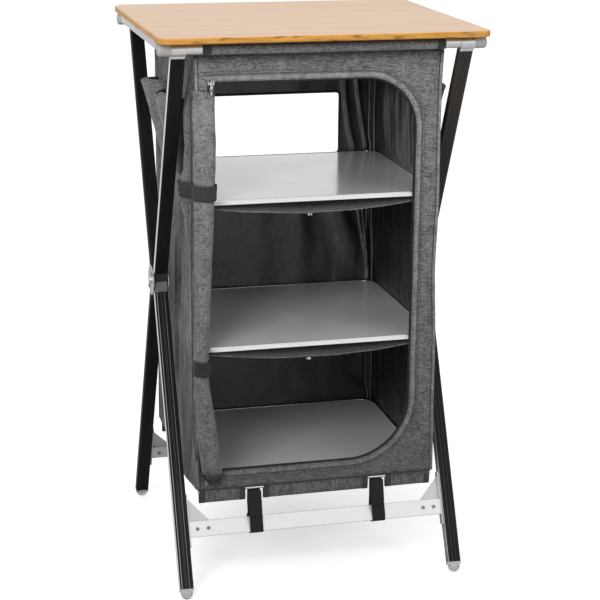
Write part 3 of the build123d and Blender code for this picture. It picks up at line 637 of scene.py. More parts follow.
def doorway(grow=0.0, spacing=7.0):
    """The doorway's outline in X and Z, from its top left corner clockwise and back to it."""
    left, right, low, high = DOOR_LEFT - grow, DOOR_RIGHT + grow, DOOR_LOW - grow, DOOR_HIGH + grow
    big, small = RADIUS_HIGH + grow, RADIUS_LOW + grow

    def line(start, end, base):
        count = max(2, int(base / spacing))
        t = np.linspace(0, 1, count, endpoint=False)[:, None]
        return np.array(start) * (1 - t) + np.array(end) * t

    def arc(middle, radius, start, end, base):
        count = max(2, int(base * math.pi / 2 / spacing))
        angle = np.radians(np.linspace(start, end, count, endpoint=False))
        return np.stack([middle[0] + radius * np.cos(angle), middle[1] + radius * np.sin(angle)], axis=1)

    width, height = DOOR_RIGHT - DOOR_LEFT, DOOR_HIGH - DOOR_LOW
    return np.vstack([
        line((left, high), (right - big, high), width - RADIUS_HIGH),
        arc((right - big, high - big), big, 90, 0, RADIUS_HIGH),
        line((right, high - big), (right, low + small), height - RADIUS_HIGH - RADIUS_LOW),
        arc((right - small, low + small), small, 0, -90, RADIUS_LOW),
        line((right - small, low), (left, low), width - RADIUS_LOW),
        line((left, low), (left, high), height),
    ])


def open_run(grow, spacing=7.0):
    """The doorway's top, right side and bottom, without its left side."""
    outline = doorway(grow, spacing)
    return outline[: len(outline) - max(2, int((DOOR_HIGH - DOOR_LOW) / spacing)) + 1]


def rim_points(inner, half, low, high):
    """Points on a rectangle's edge, one straight out from each point of the outline inside it."""
    middle = (inner.min(axis=0) + inner.max(axis=0)) / 2
    out = []
    for x, z in inner - middle:
        reach = []
        if abs(x) > 1e-6:
            reach.append((math.copysign(half, x) - middle[0]) / x)
        if abs(z) > 1e-6:
            reach.append(((high if z > 0 else low) - middle[1]) / z)
        out.append(middle + np.array([x, z]) * min(reach))
    out = np.array(out)
    for corner in ((-half, low), (-half, high), (half, low), (half, high)):
        out[np.argmin(np.linalg.norm(out - np.array(corner), axis=1))] = corner
    return out


# Folds of the rear wall's lining, in X and Z, with their half width and height
REAR_FOLDS = [
    (((158, 905), (161, 850), (171, 785), (182, 742)), 6, 4.5),
    (((184, 905), (188, 860), (199, 800), (209, 746)), 5, 4.0),
    (((148, 640), (175, 573), (202, 503), (227, 440)), 9, 8.0),
    (((188, 700), (203, 610), (214, 520), (229, 442)), 6, 6.0),
    (((118, 712), (141, 610), (182, 500)), 14, 6.0),
    (((200, 640), (212, 560), (224, 500), (214, 470)), 5, 5.0),
    (((62, 715), (72, 560), (66, 450)), 17, 5.0),
    (((-30, 715), (-22, 520), (-34, 445)), 20, 4.0),
    (((215, 420), (205, 340), (216, 240)), 8, 4.0),
    (((150, 420), (160, 300), (190, 215)), 14, 4.0),
]


def fold_heights(x, z):
    """How far the folds stand into the cupboard at points of the rear wall."""
    total = np.zeros_like(x)
    for line, width, height in REAR_FOLDS:
        line = np.array(line, float)
        nearest = np.full_like(x, 1e6)
        for (x0, z0), (x1, z1) in zip(line[:-1], line[1:]):
            reach = (x1 - x0) ** 2 + (z1 - z0) ** 2
            t = np.clip(((x - x0) * (x1 - x0) + (z - z0) * (z1 - z0)) / reach, 0, 1)
            nearest = np.minimum(nearest, np.hypot(x - x0 - t * (x1 - x0), z - z0 - t * (z1 - z0)))
        total += height * np.exp(-((nearest / width) ** 2))
    return total


def front_skin(points, y, push):
    """Puts X, Z points on a wall at a depth, with the cloth's slack added."""
    x, z = points[..., 0], points[..., 1]
    side = np.where(x > 0, inset(z), inset(z, -1.0))
    reach = np.where(x > 0, smoothstep(x, 182, HALF), smoothstep(-x, 208, HALF))
    placed = points_at(x - np.sign(x) * side * reach, y, z)
    slack = ripple(placed, (90, 90, 60), 3.0) * 1.6 + ripple(placed, (34, 34, 46), 7.0) * 0.7
    edge = np.minimum(np.minimum(HALF - abs(x), TOP - z), z - LOW)
    if push > 0:
        slack = slack - fold_heights(x, z)
    placed[..., 1] += push * (slack + 1.0) * smoothstep(edge, 0, 16)
    return placed


def ring_wall(label, inner, y, push, shares):
    """A wall round an opening, as rings of faces from the opening to the wall's edge."""
    outer = rim_points(inner, HALF, LOW, TOP)
    rings = np.array([inner * (1 - t) + outer * t for t in shares])
    return cloth(f"{label}_cloth", front_skin(rings, y, push), (HEATHER, LINING), CLOTH, 1.0, f"{label}_wall",
                 f"{label}_panel", wrap_columns=True, turn=push > 0)


front = ring_wall("front", doorway(), -FRONT, -1.0, (0.0, 0.08, 0.2, 0.33, 0.46, 0.59, 0.72, 0.85, 0.94, 1.0))

# Bound edge of the doorway: a crowned strip of cloth from one growth of the outline to another, and a lip
BOUND_FROM, BOUND_TO, CROWN, BOUND_STEPS = -1.0, 12.0, 1.5, 6
bound_rows = []
for step in range(BOUND_STEPS + 1):
    t = step / BOUND_STEPS
    bound_row = front_skin(open_run(BOUND_FROM + (BOUND_TO - BOUND_FROM) * t), -FRONT - 1.1, -1.0)
    bound_row[:, 1] -= CROWN * (1 - (2 * t - 1) ** 4) + 0.15
    bound_rows.append(bound_row)
binding = cloth("door_binding", bound_rows, (BOUND_HEATHER, BINDING), 0.5, -1.0, "front_wall")
pipe("door_lip", front_skin(open_run(-0.6), -FRONT - 1.2, -1.0), 1.1, BINDING, "front_wall")

# Stitch rows: growth of the outline and height off the wall
STITCH_ROWS = ((2.0, 2.9), (10.2, 2.9), (12.8, 1.4), (17.0, 1.5))
runs = [front_skin(open_run(grow, 4.0), -FRONT - off, -1.0) for grow, off in STITCH_ROWS]
stitches("front_stitches", runs, (0, -1, 0), "front_wall", gap=0.9, radius=0.5)

# Zip behind the doorway's edge
ZIP_Y = -INNER_FRONT + 0.2
tape_rows = [front_skin(open_run(grow), ZIP_Y, 0.0) for grow in (-2.8, 0.5, 4.0, 7.2)]
tape = cloth("door_zip_tape", tape_rows, (ZIP, ZIP), 0.6, 0.0, "front_wall", "door_zip", slot="zip_tape",
             turn=True)
pipe("door_zip_coil", front_skin(open_run(-2.4, 3.0), ZIP_Y, 0.0), 1.2, ZIP, "front_wall", "zip_tape")

# Rear wall with its window
WINDOW_HALF, WINDOW_LOW, WINDOW_HIGH, WINDOW_RADIUS = 147.0, 739.0, 861.0, 5.0


def window(grow=0.0, spacing=4.5):
    """The window's outline in X and Z, closed."""
    right, low, high = WINDOW_HALF + grow, WINDOW_LOW - grow, WINDOW_HIGH + grow
    points = []
    radius = WINDOW_RADIUS + grow
    for cx, cz, start in ((right, high, 90), (right, low, 0), (-right, low, -90), (-right, high, 180)):
        middle_x, middle_z = cx - math.copysign(radius, cx), cz + (radius if cz == low else -radius)
        for angle in np.radians(np.linspace(start, start - 90, 6)):
            points.append((middle_x + radius * math.cos(angle), middle_z + radius * math.sin(angle), 0.0))
    points = np.array(points)
    total = 4 * WINDOW_HALF + 2 * (WINDOW_HIGH - WINDOW_LOW)
    share = np.linspace(0, 1, int(total / spacing), endpoint=False)
    return along(points, share * path_lengths(points, True)[-1], True)[:, :2]


rear = ring_wall("rear", window(), FRONT, 1.0, (0.0, 0.02, 0.05, *np.linspace(0.08, 0.98, 54), 1.0))
window_edge = front_skin(window(3.0, 5.0), FRONT + 0.6, 1.0)
pipe("window_binding", window_edge, 2.4, BINDING, "rear_wall", closed=True)

# Side walls


def belly(y, z):
    """The left wall's foot hangs out a little behind the front corner."""
    return 9.0 * bump_at(y, -118, 62) * smoothstep(-z, -LOW - 75, -LOW)


# Upright folds of the side walls: place along Y at mid height, lean, height and half width
SIDE_FOLDS = ((-112, 0.07, 8, 8), (-84, 0.10, -7, 9), (-56, 0.02, 7, 7), (-22, -0.05, -7, 10), (14, 0.04, 6.5, 8),
              (48, -0.03, -7, 11), (84, 0.05, 6.5, 8), (116, 0.03, -6, 9), (150, -0.02, 6, 8), (176, 0.02, -5, 6))
# The tied-up door draws the left cloth into a ridge with a hollow behind it: heights in Z and how far it goes
RIDGE = ([240, 330, 430, 500, 600, 700, 745, 790, 830, 900, 945, 990], [0, 5, 1, 7, 11, 17, 22, 23, 18, 17, 12, 0])
HOLLOW = ([400, 440, 480, 740, 790, 920, 985], [0, 9, 0, 0, 20, 20, 0])
RIDGE_Y, HOLLOW_Y, CRUMPLE_Y, CRUMPLE_Z = -178, -138, -190, (435.0, 762.0)


def side_out(side, y, z):
    """How far a side wall's cloth stands out from its plane: folds between the boards, drawn in by their edges."""
    flat = points_at(side * HALF, y, z)
    out = ripple(flat, (80, 70, 240), 2.0 + side) * 2.4 + ripple(flat, (80, 26, 150), 5.0 + side) * 1.8
    out = out - creases(flat, (80, 60, 170), 9.0 + side, 2.6) * 2.5
    for place, lean, height, width in SIDE_FOLDS:
        swell = 0.55 + 0.45 * ripple(flat, (80, 200, 90), place)
        out = out + height * bump_at(y, place + lean * (z - 600), width) * swell
    boards = np.ones_like(z)
    for top in BOARD_TOPS:
        boards *= 1 - 0.8 * bump_at(z, top - 6, 24)
    from_corner = INNER_FRONT - abs(y)
    edge = smoothstep(from_corner, 0, 24) * smoothstep(TOP - z, 0, 40) * smoothstep(z - LOW, 0, 12)
    out = (out - 0.8) * edge * boards
    if side < 0:
        out = out + np.interp(z, *RIDGE) * bump_at(y, RIDGE_Y, 15) * smoothstep(from_corner, 0, 14)
        out = out - np.interp(z, *HOLLOW) * bump_at(y, HOLLOW_Y, 16) * edge
        for band in CRUMPLE_Z:
            reach = np.hypot(y - CRUMPLE_Y, z - band)
            angle = np.arctan2(z - band, y - CRUMPLE_Y)
            out = out + 4.2 * np.cos(7 * angle + 1.0) * bump_at(reach, 40, 26) * edge
        out = out + belly(y, z)
    return out


for side, label in ((-1, "left"), (1, "right")):
    y, z = np.meshgrid(np.linspace(-INNER_FRONT, INNER_FRONT, 90), np.linspace(LOW, TOP, 150))
    x = HALF - inset(z, side) + side_out(side, y, z)
    # The cloth stays outside the rim of every board
    for top in BOARD_TOPS:
        x = np.maximum(x, BOARD_HALF + 2.6 - 30 * smoothstep(abs(z - top + 5), 13, 40))
    piece = cloth(f"side_cloth_{label}", points_at(side * x, y, z), (SIDE_HEATHER, LINING), CLOTH, -1.0, "carcass",
                  f"side_panel_{label}", turn=side < 0)


def flat_cloth(label, z, sag, turn):
    """The cupboard's top or floor, sagging in its middle."""
    x, y = np.meshgrid(np.linspace(-INNER_HALF, INNER_HALF, 46), np.linspace(-INNER_FRONT, INNER_FRONT, 40))
    flat = points_at(x, y, z)
    middle = (1 - (x / INNER_HALF) ** 2) * (1 - (y / INNER_FRONT) ** 2)
    flat[..., 2] += -sag * middle + ripple(flat, (70, 60, 60), 4.0) * min(1.0, sag) * middle
    flat[..., 0] -= belly(y, flat[..., 2] if z < TOP / 2 else np.full_like(x, TOP)) * smoothstep(-x, 160, INNER_HALF)
    piece = cloth(f"{label}_cloth", flat, (HEATHER, LINING), CLOTH, -1.0, "carcass", f"{label}_panel", turn=turn)


flat_cloth("top", TOP - 0.4, 5.0, False)
flat_cloth("floor", LOW + 0.4, 0.4, True)


# Vertical seams: a cord outside each corner with a groove beside it, drawn as a dark cord of painted shade, and the
# two sides of a bound edge inside it, pale with painted highlights
CORD_RADIUS, GROOVE_RADIUS, SEAM_RADIUS = 3.3, 0.7, 1.5
for corner, (sx, sy) in enumerate(((-1, -1), (1, -1), (-1, 1), (1, 1))):
    z = np.linspace(LOW + 2, TOP - 3, 90)
    x = sx * (HALF - inset(z, sx) - 0.4)
    wall = "front_wall" if sy < 0 else "rear_wall"
    cord_path = points_at(x - sx * 1.5, sy * (FRONT + 0.4), z)
    cord_path[:, 0] += ripple(cord_path, (60, 60, 120), corner) * 0.8
    pipe(f"corner_piping_{corner}", cord_path, CORD_RADIUS, BOUND_HEATHER, wall, sides=12)
    # Painted shade: a dark cord stands for the shade in the groove beside the corner cord
    groove = cord_path + np.array([-sx * 3.6, sy * 1.0, 0])
    pipe(f"corner_groove_{corner}", groove, GROOVE_RADIUS, THREAD, wall)
    for edge, away in (("a", 3.4), ("b", 15.0)):
        inner = points_at(x - sx * away, sy * (INNER_FRONT - 3.6), z)
        inner[:, 0] += ripple(inner, (40, 40, 90), corner + away) * 1.6
        inner[:, 1] += ripple(inner, (40, 40, 110), corner + away + 3.0) * 1.2
        for top in BOARD_TOPS:
            inner[:, 0] += sx * (away - 6.0) * 0.5 * bump_at(z, top + 10, 14)
        # Painted highlight: the inner seam edges are pale
        pipe(f"inner_seam_{corner}_{edge}", inner, SEAM_RADIUS, LINING_SEAM_HIGHLIGHT, wall, "coated_lining")


# Bright lips round the boards' upper edges, a little inside their rounded corners
LIP_CORNER, LIP_INSIDE, LIP_SINK = 30.0, 0.7, 0.3
for place in BOARDS:
    low, high = span(f"shelf_rim_{place}")
    lip_path = []
    for quarter, (sx, sy) in enumerate(((1, 1), (-1, 1), (-1, -1), (1, -1))):
        x, y = sx * (high[0] - LIP_INSIDE - LIP_CORNER), sy * (high[1] - LIP_INSIDE - LIP_CORNER)
        for angle in np.radians(np.linspace(0, 90, 8)) + quarter * math.pi / 2:
            lip_path.append((x + LIP_CORNER * math.cos(angle), y + LIP_CORNER * math.sin(angle), high[2] - LIP_SINK))
    lip_path = np.array(lip_path)
    length = path_lengths(lip_path, True)[-1]
    lip_path = along(lip_path, np.linspace(0, length, 260, endpoint=False), True)
    pipe(f"shelf_lip_{place}", lip_path, 1.2, LIP_SILVER, f"board_{place}", "shelf_rim_metal", closed=True)


# Slings under the two upper boards, lowest in their middle
for place in ("middle", "top"):
    low, high = span(f"sling_{place}")
    half, deep = high[0], high[1]
    edge_z = high[2] - 0.6
    x, y = np.meshgrid(np.linspace(-half, half, 60), np.linspace(-deep, deep, 44))
    crown = 1 - (x / half) ** 2
    flat = points_at(x, y, edge_z + (low[2] + 2.8 - edge_z) * crown)
    flat[..., 2] += np.minimum(ripple(flat, (60, 90, 60), 3.0) * 1.6 * crown, 1.0) - 0.2
    piece = cloth(f"sling_cloth_{place}", flat, (SIDE_HEATHER, LINING), 0.8, -1.0, "carcass", f"sling_{place}",
                  slot="coated_lining")
    pipe(f"sling_hem_{place}", flat[0] + np.array([0, 0.6, -0.3]), 1.3, HEATHER, "carcass", "coated_lining")
    middle = centre(f"sling_slider_{place}")[0]
    column = int(np.argmin(abs(flat[0, :, 0] - middle)))
    line = flat[:, column] + np.array([middle - flat[0, column, 0], 0, -1.4])
    tape_grid = [line + np.array([offset, 0, 0]) for offset in (-6.0, -2.0, 2.0, 6.0)]
    ribbon = cloth(f"sling_zip_tape_{place}", tape_grid, (ZIP,), 0.5, 0.0, "carcass", slot="zip_tape")
    pipe(f"sling_zip_coil_{place}", line + np.array([0, 0, -0.9]), 1.1, ZIP, "carcass", "zip_tape")


# Rolled door: one sheet wound up from its free edge, drawn in by two bands and flattened towards its head

ROLL_LOW, ROLL_HIGH, ROLL_WIDTH, ROLL_DEPTH = 232.0, 929.0, 42.0, 34.0
ROLL_HEAD, HEAD_FLAT = 85, 0.93
ROLL_BACK, ROLL_AXIS = -FRONT - 1.4, -FRONT - 18.0
BAND_PLACES, BAND_HALF = (434.8, 761.7), 13.5
TURNS, LAYER, TURN_COLUMNS, ROLL_ROWS = 3.6, 3.1, 26, 120


def roll_edges(z):
    """Left and right edge of the roll at a height, drawn in at the bands and wider at its foot."""
    places = [200.0, 232.0, 292.0, 330.0, 368.0, 405.0, 435.0, 460.0, 560.0, 640.0, 715.0, 762.0, 800.0, 870.0,
              950.0]
    edges = [-183.0, -184.0, -190.0, -196.0, -202.0, -207.0, -208.5, -207.5, -203.0, -200.0, -197.0, -195.5, -194.0,
             -192.6, -190.0]
    right = sum(np.interp(np.asarray(z) + shift, places, edges) for shift in (-9.0, 0.0, 9.0)) / 3
    left = np.interp(z, [200, 232, 262, 300, 400, 950], [-222.0, -223.5, -228.0, -233.0, -235.5, -235.5])
    return left, right


def roll_size(z):
    """Middle, half width and half depth of the roll at a height."""
    left, right = roll_edges(z)
    half = (right - left) / 2
    return (left + right) / 2, half, ROLL_DEPTH / 2 * (0.4 + 0.6 * half / (ROLL_WIDTH / 2))


def roll_section(z, turn):
    """X and Y of the wound sheet at a height; turn counts the turns from the outside in."""
    middle, half, deep = roll_size(z)
    open_depth = 1 - HEAD_FLAT * smoothstep(z, ROLL_HIGH - ROLL_HEAD, ROLL_HIGH - 4)
    inward = LAYER * turn
    angle = 2 * math.pi * turn + math.pi * 0.5
    rx = np.maximum(half - inward, 2.0)
    ry = np.maximum((deep - inward) * open_depth, 0.3)
    return middle + rx * np.cos(angle), ROLL_BACK - deep * open_depth + ry * np.sin(angle)


def rolled_door():
    turn, share = np.meshgrid(np.linspace(0, TURNS, int(TURN_COLUMNS * TURNS)), np.linspace(0, 1, ROLL_ROWS))
    steps = sum(drop * smoothstep(turn, at, at + 0.15) for at, drop in ((0.97, 13.0), (1.97, 4.0), (2.9, 3.0)))
    foot = ROLL_LOW - 1.0 - steps + 0.8 * np.sin(turn * 5.0)
    head = ROLL_HIGH + 11.0 - 3.0 * turn + 2.6 * np.sin(2 * math.pi * turn) - 26.0 * smoothstep(turn, 0.95, 1.2)
    z = foot + (head - foot) * share
    points = points_at(*roll_section(z, turn), z)
    outer = 1 - smoothstep(turn, 0.9, 1.3)
    bumps = ripple(points, (30, 30, 95), 6.0) * 1.6 + ripple(points, (16, 16, 40), 2.0) * 0.7
    calm = 1 - 0.92 * smoothstep(z, ROLL_HIGH - ROLL_HEAD, ROLL_HIGH - 20)
    for band in BAND_PLACES:
        calm *= 1 - 0.9 * bump_at(z, band, 20.0)
    away = points[..., :2] - np.stack([roll_size(z)[0], np.full_like(z, ROLL_AXIS)], axis=-1)
    away /= np.maximum(np.linalg.norm(away, axis=-1), 1e-6)[..., None]
    points[..., :2] += away * (bumps * outer * calm * 0.8)[..., None]
    points[..., 1] = np.minimum(points[..., 1], ROLL_BACK - 0.1)
    rows, columns = z.shape
    piece = make("door_roll_cloth", points, quads(rows, columns), ROLL_HEATHER, ROLL_INSIDE_SHADED)
    # Painted shade: faces past the first turn take the dark shaded copy of the coated back
    inside = [face.vertices[0] % columns > TURN_COLUMNS * 1.1 for face in piece.data.polygons]
    piece.data.polygons.foreach_set("material_index", [int(dark) for dark in inside])
    thicken(piece, 1.0, -1.0, backing=True)
    place_on(piece, "front_wall", "door_roll")
    hem_rows = [points[row, : int(TURN_COLUMNS * 1.05)] + np.array([0, -0.3, 0]) for row in (1, 2)]
    stitches("roll_stitches", hem_rows, (0, -1, 0), "front_wall")


rolled_door()

# The seam where the rolled door leaves the corner, and above the upper band a dark cord of painted shade along the
# fold valley
z = np.linspace(252, BAND_PLACES[1] - 18, 120)
hinge = points_at(-238.0, -FRONT - 4.2, z)
hinge[:, 0] += ripple(hinge, (60, 60, 80), 3.0) * 1.2 + 6.0 * smoothstep(-z, -330, -240)
pipe("door_hinge_seam", hinge, 1.5, SIDE_HEATHER, "front_wall")
# Painted shade: a dark cord stands for the shade in the fold valley
valley = points_at(-236.5, -FRONT - 5.0, np.linspace(BAND_PLACES[1] + 16, ROLL_HIGH + 4, 60))
valley[:, 0] += ripple(valley, (60, 60, 60), 6.0) * 1.5
pipe("door_valley_seam", valley, 1.0, THREAD, "front_wall")

# Bands round the roll, a little off its cloth
BAND_OFF, BAND_WALL, WEBBING_THICK = 1.3, -FRONT - 0.9, 1.3
for label, middle in zip(("lower", "upper"), BAND_PLACES):
    angle, z = np.meshgrid(np.linspace(0, 2 * math.pi, 64, endpoint=False),
                           middle + np.linspace(-BAND_HALF, BAND_HALF, 9))
    z = z + 0.8 * np.sin(angle * 2)
    roll_middle, half, deep = roll_size(z)
    x = roll_middle + (half + BAND_OFF) * np.cos(angle)
    y = np.minimum(BAND_WALL - deep + (deep + BAND_OFF) * np.sin(angle), BAND_WALL)
    points = points_at(x, y, z)
    points[..., 1] += ripple(points, (14, 14, 9), middle) * 0.4 * (np.sin(angle) < 0)
    piece = cloth(f"roll_band_{label}", points, (WEBBING,), WEBBING_THICK, 0.0, "front_wall",
                  *(("roll_bands",) if label == "upper" else ()), slot="black_webbing", wrap_columns=True)

# The upper band is sewn on beside the door and crosses the ridge there
y, share = np.meshgrid(np.linspace(-204, -160, 34), np.linspace(-1, 1, 9))
z = BAND_PLACES[1] + 13.0 * share * (1 - 0.3 * smoothstep(y, -174, -160)) + 3.0 * smoothstep(y, -195, -160)
x = -(HALF - inset(z, -1.0) + np.maximum(side_out(-1, y, z), 0.0) + 4.2 + 3.0 * smoothstep(-y, 180, 202))
band_end = cloth("roll_band_end", points_at(x, y, z), (WEBBING,), WEBBING_THICK, 0.0, "carcass",
                 slot="black_webbing", turn=True)


# Sleeves on the top tubes, with the skirt down to the wall

SLEEVE_RADIUS, SLEEVE_END, SLEEVE_COLUMNS = 10.9, 10.0, 90


def ring_away(points, y, z):
    """Directions straight out from a line along X."""
    away = points - np.array([0, y, z])
    away[..., 0] = 0
    return away / np.maximum(np.linalg.norm(away, axis=-1), 1e-6)[..., None]


def sleeve_points(side):
    """Round the tube and down to the wall's top seam."""
    angles = np.radians(np.linspace(-62, 262, 40))
    loop = [(math.cos(a) * SLEEVE_RADIUS, math.sin(a) * SLEEVE_RADIUS) for a in angles]
    ty, tz = abs(TUBE[1]), TUBE[2]
    down = (FRONT - ty, TOP + 0.9 - tz)
    skirt = [(down[0] * (1 - t) + loop[0][0] * t, down[1] * (1 - t) + loop[0][1] * t) for t in (0.0, 0.35, 0.7)]
    out, up = np.array(skirt + loop).T[..., None]
    x = np.linspace(SLEEVE_END - HALF, HALF - SLEEVE_END, SLEEVE_COLUMNS)[None, :]
    points = points_at(x, side * (ty + out), tz + up)
    bumps = ripple(points, (26, 14, 14), 4.0) * 0.45 + ripple(points, (90, 60, 60), 1.0) * 0.3
    return points + ring_away(points, side * ty, tz) * np.maximum(bumps, -0.35)[..., None]


for side, label, frame_body in ((-1, "front", "frame_a"), (1, "rear", "frame_b")):
    points = sleeve_points(side)
    piece = cloth(f"{label}_sleeve_cloth", points, (HEATHER,), 0.9, 0.0, frame_body, f"{label}_sleeve",
                  turn=side > 0)
    for end, start in (("left", 0), ("right", SLEEVE_COLUMNS - 4)):
        strip = points[3:, start:start + 4]
        strip = strip + ring_away(strip, side * abs(TUBE[1]), TUBE[2]) * 0.8
        bound = cloth(f"{label}_sleeve_{end}_binding", strip, (BINDING,), 0.6, 0.0, frame_body, turn=side > 0)


# Hem tunnels and straps

# A hem's half depth and how far its middle lies inside the wall; where its ends are bound, and half that width
HEM_DEEP, HEM_INSIDE, HEM_ENDS, HEM_BOUND = 4.0, 4.6, 5.6, 5.3


def hem_cloth(label, index, low, high, side):
    """A flattened cloth tunnel hung below the wall, open at its ends."""
    z_low, z_high = span(f"{label}_hem")[0][2], LOW + 0.5
    middle_y, middle_z = side * (FRONT - HEM_INSIDE), (z_low + z_high) / 2
    angle = np.linspace(0, 2 * math.pi, 40, endpoint=False)[:, None]
    ring_y = HEM_DEEP * np.sign(np.cos(angle)) * np.abs(np.cos(angle)) ** 0.7
    ring_z = (z_high - z_low) / 2 * np.sign(np.sin(angle)) * np.abs(np.sin(angle)) ** 0.8
    x = np.linspace(low, high, max(8, int((high - low) / 7)))[None, :]
    points = points_at(x, middle_y + ring_y, middle_z + ring_z)
    swell = ripple(points, (40, 30, 30), index) * 0.9
    points[..., 1] += swell * np.sign(points[..., 1] - middle_y) * 0.6
    body, name = f"{label}_wall", f"{label}_hem_{index}"
    piece = cloth(name, points, (HEM_HEATHER,), 0.9, -1.0, body, *((f"{label}_hem",) if index == 0 else ()),
                  wrap_rows=True, turn=True)
    for end, strip_x in (("a", low + HEM_ENDS), ("b", high - HEM_ENDS)):
        strip = np.repeat(points[:, :1], 3, axis=1)
        strip[..., 0] = strip_x + np.array([-HEM_BOUND, 0, HEM_BOUND])
        strip += ring_away(strip, middle_y, middle_z) * 0.45
        bound = make(f"{name}_{end}", strip, quads(*strip.shape[:2], wrap_rows=True, turn=True), BINDING)
        place_on(bound, body)


def hull(points):
    """Outline of the smallest convex shape round flat points."""
    points = sorted(map(tuple, points))

    def half(items):
        made = []
        for p in items:
            while len(made) > 1 and ((made[-1][0] - made[-2][0]) * (p[1] - made[-2][1])
                                     - (made[-1][1] - made[-2][1]) * (p[0] - made[-2][0])) <= 0:
                made.pop()
            made.append(p)
        return made[:-1]

    return np.array(half(points) + half(points[::-1]))


def bar_corners(label):
    """The crossbar's four long edges as Y and Z."""
    data = nodes[f"{label}_crossbar"].data
    co = np.array([v.co for v in data.vertices]) / MM
    return hull(co[:, 1:])


STRAP_HALF, STRAP_COLUMNS, STRAP_ROWS, STRAP_GAP, ROD_RADIUS = 12.5, 7, 84, 1.3, 3.2
# Points of the loop that a strap is cut from, how far below the rod its front part stops, and rows of its flap
LOOP_POINTS, STRAP_STOP, FLAP_ROWS = 120, 4.6, 22


def strap(label, index, x, side):
    """Webbing sewn to the wall behind the rod, round the crossbar and back up in front, where it closes on itself."""
    circle = np.linspace(0, 2 * math.pi, 20, endpoint=False)
    round_rod = ROD_RADIUS + STRAP_GAP
    cloud = [(side * ROD_Y + round_rod * math.cos(a), ROD_Z + round_rod * math.sin(a)) for a in circle]
    for y, z in bar_corners(label):
        cloud += [(y + STRAP_GAP * math.cos(a), z + STRAP_GAP * math.sin(a)) for a in circle]
    outline = hull(cloud)[::side]
    outline = np.roll(outline, -int(np.argmax(outline[:, 1])), axis=0)
    outline = points_at(0.0, outline[:, 0], outline[:, 1])
    loop = along(outline, np.linspace(0, path_lengths(outline, True)[-1], LOOP_POINTS), True)
    back = loop[:, 1] * side < ROD_Y
    path = loop[(back & (np.arange(LOOP_POINTS) < LOOP_POINTS / 2)) | (loop[:, 2] < ROD_Z - STRAP_STOP)]
    first = path[np.argmax(path[:, 2] < ROD_Z)]
    path = np.vstack([[[0, first[1], LOW - 1.5], [0, first[1], ROD_Z + 2.0]], path[path[:, 2] < ROD_Z]])
    total = path_lengths(path)[-1]
    path = along(path, np.linspace(0, total, STRAP_ROWS))
    across = np.linspace(-1, 1, STRAP_COLUMNS)[None, :]
    points = points_at(x + STRAP_HALF * across, path[:, 1:2], path[:, 2:])
    points[..., 0] += ripple(points, (200, 60, 26), index + 3.0) * 1.2
    body = f"{label}_wall"
    piece = cloth(f"{label}_strap_{index}", points, (WEBBING,), 1.5, 0.0, body,
                  *((f"{label}_straps",) if index == 0 else ()), slot="black_webbing", gather=True, turn=side < 0)
    upper = path[-FLAP_ROWS:]
    flap = points_at(x + 12.3 * across - 0.8, upper[:, 1:2] + side * 1.6, upper[:, 2:])
    flap[0, :, 1] += side * 1.2
    tab = cloth(f"{label}_strap_flap_{index}", flap, (WEBBING,), WEBBING_THICK, 0.0, body,
                slot="black_webbing", gather=True, turn=side < 0)
    corners = ((13.0, 9.5, 137.0), (16.5, 9.0, 137.5), (13.0, 10.5, 127.0), (16.5, 10.5, 127.5))
    tail = [(x - left, side * (ROD_Y + out), z) for left, out, z in corners]
    end = make(f"{label}_strap_tail_{index}", tail, [(0, 1, 3, 2)], WEBBING)
    thicken(end, 1.2, 0.0)
    place_on(end, body, slot="black_webbing", gather=True)


for label, side in (("front", -1), ("rear", 1)):
    for index, (low, high) in enumerate(((-226.0, -137.5), (-102.5, 102.5), (137.5, 226.0))):
        hem_cloth(label, index, low, high, side)
    for index, x in enumerate((-120.0, 120.0)):
        strap(label, index, x, side)
    line = np.linspace(-HALF + 3, HALF - 3, 60)
    seams = [points_at(line, side * (FRONT + 1.6), height) for height in (LOW + 3.0, TOP - 5.0)]
    for place, height in (("hem", LOW + 0.2), ("head", TOP - 1.0)):
        pipe(f"{label}_{place}_seam", points_at(line, side * (FRONT + 1.0), height), 0.9, THREAD, f"{label}_wall")
    stitches(f"{label}_wall_stitches", seams, (0, side, 0), f"{label}_wall")


# Outside pockets: heights in Z, how far they stand out at their foot, how much further at the top, and a gap
POCKET_LOW, POCKET_HIGH = span("side_pockets")[0][2], span("side_pockets")[1][2]
POCKET_FOOT, POCKET_SWELL, POCKET_OFF = 7.0, 36.0, 0.4


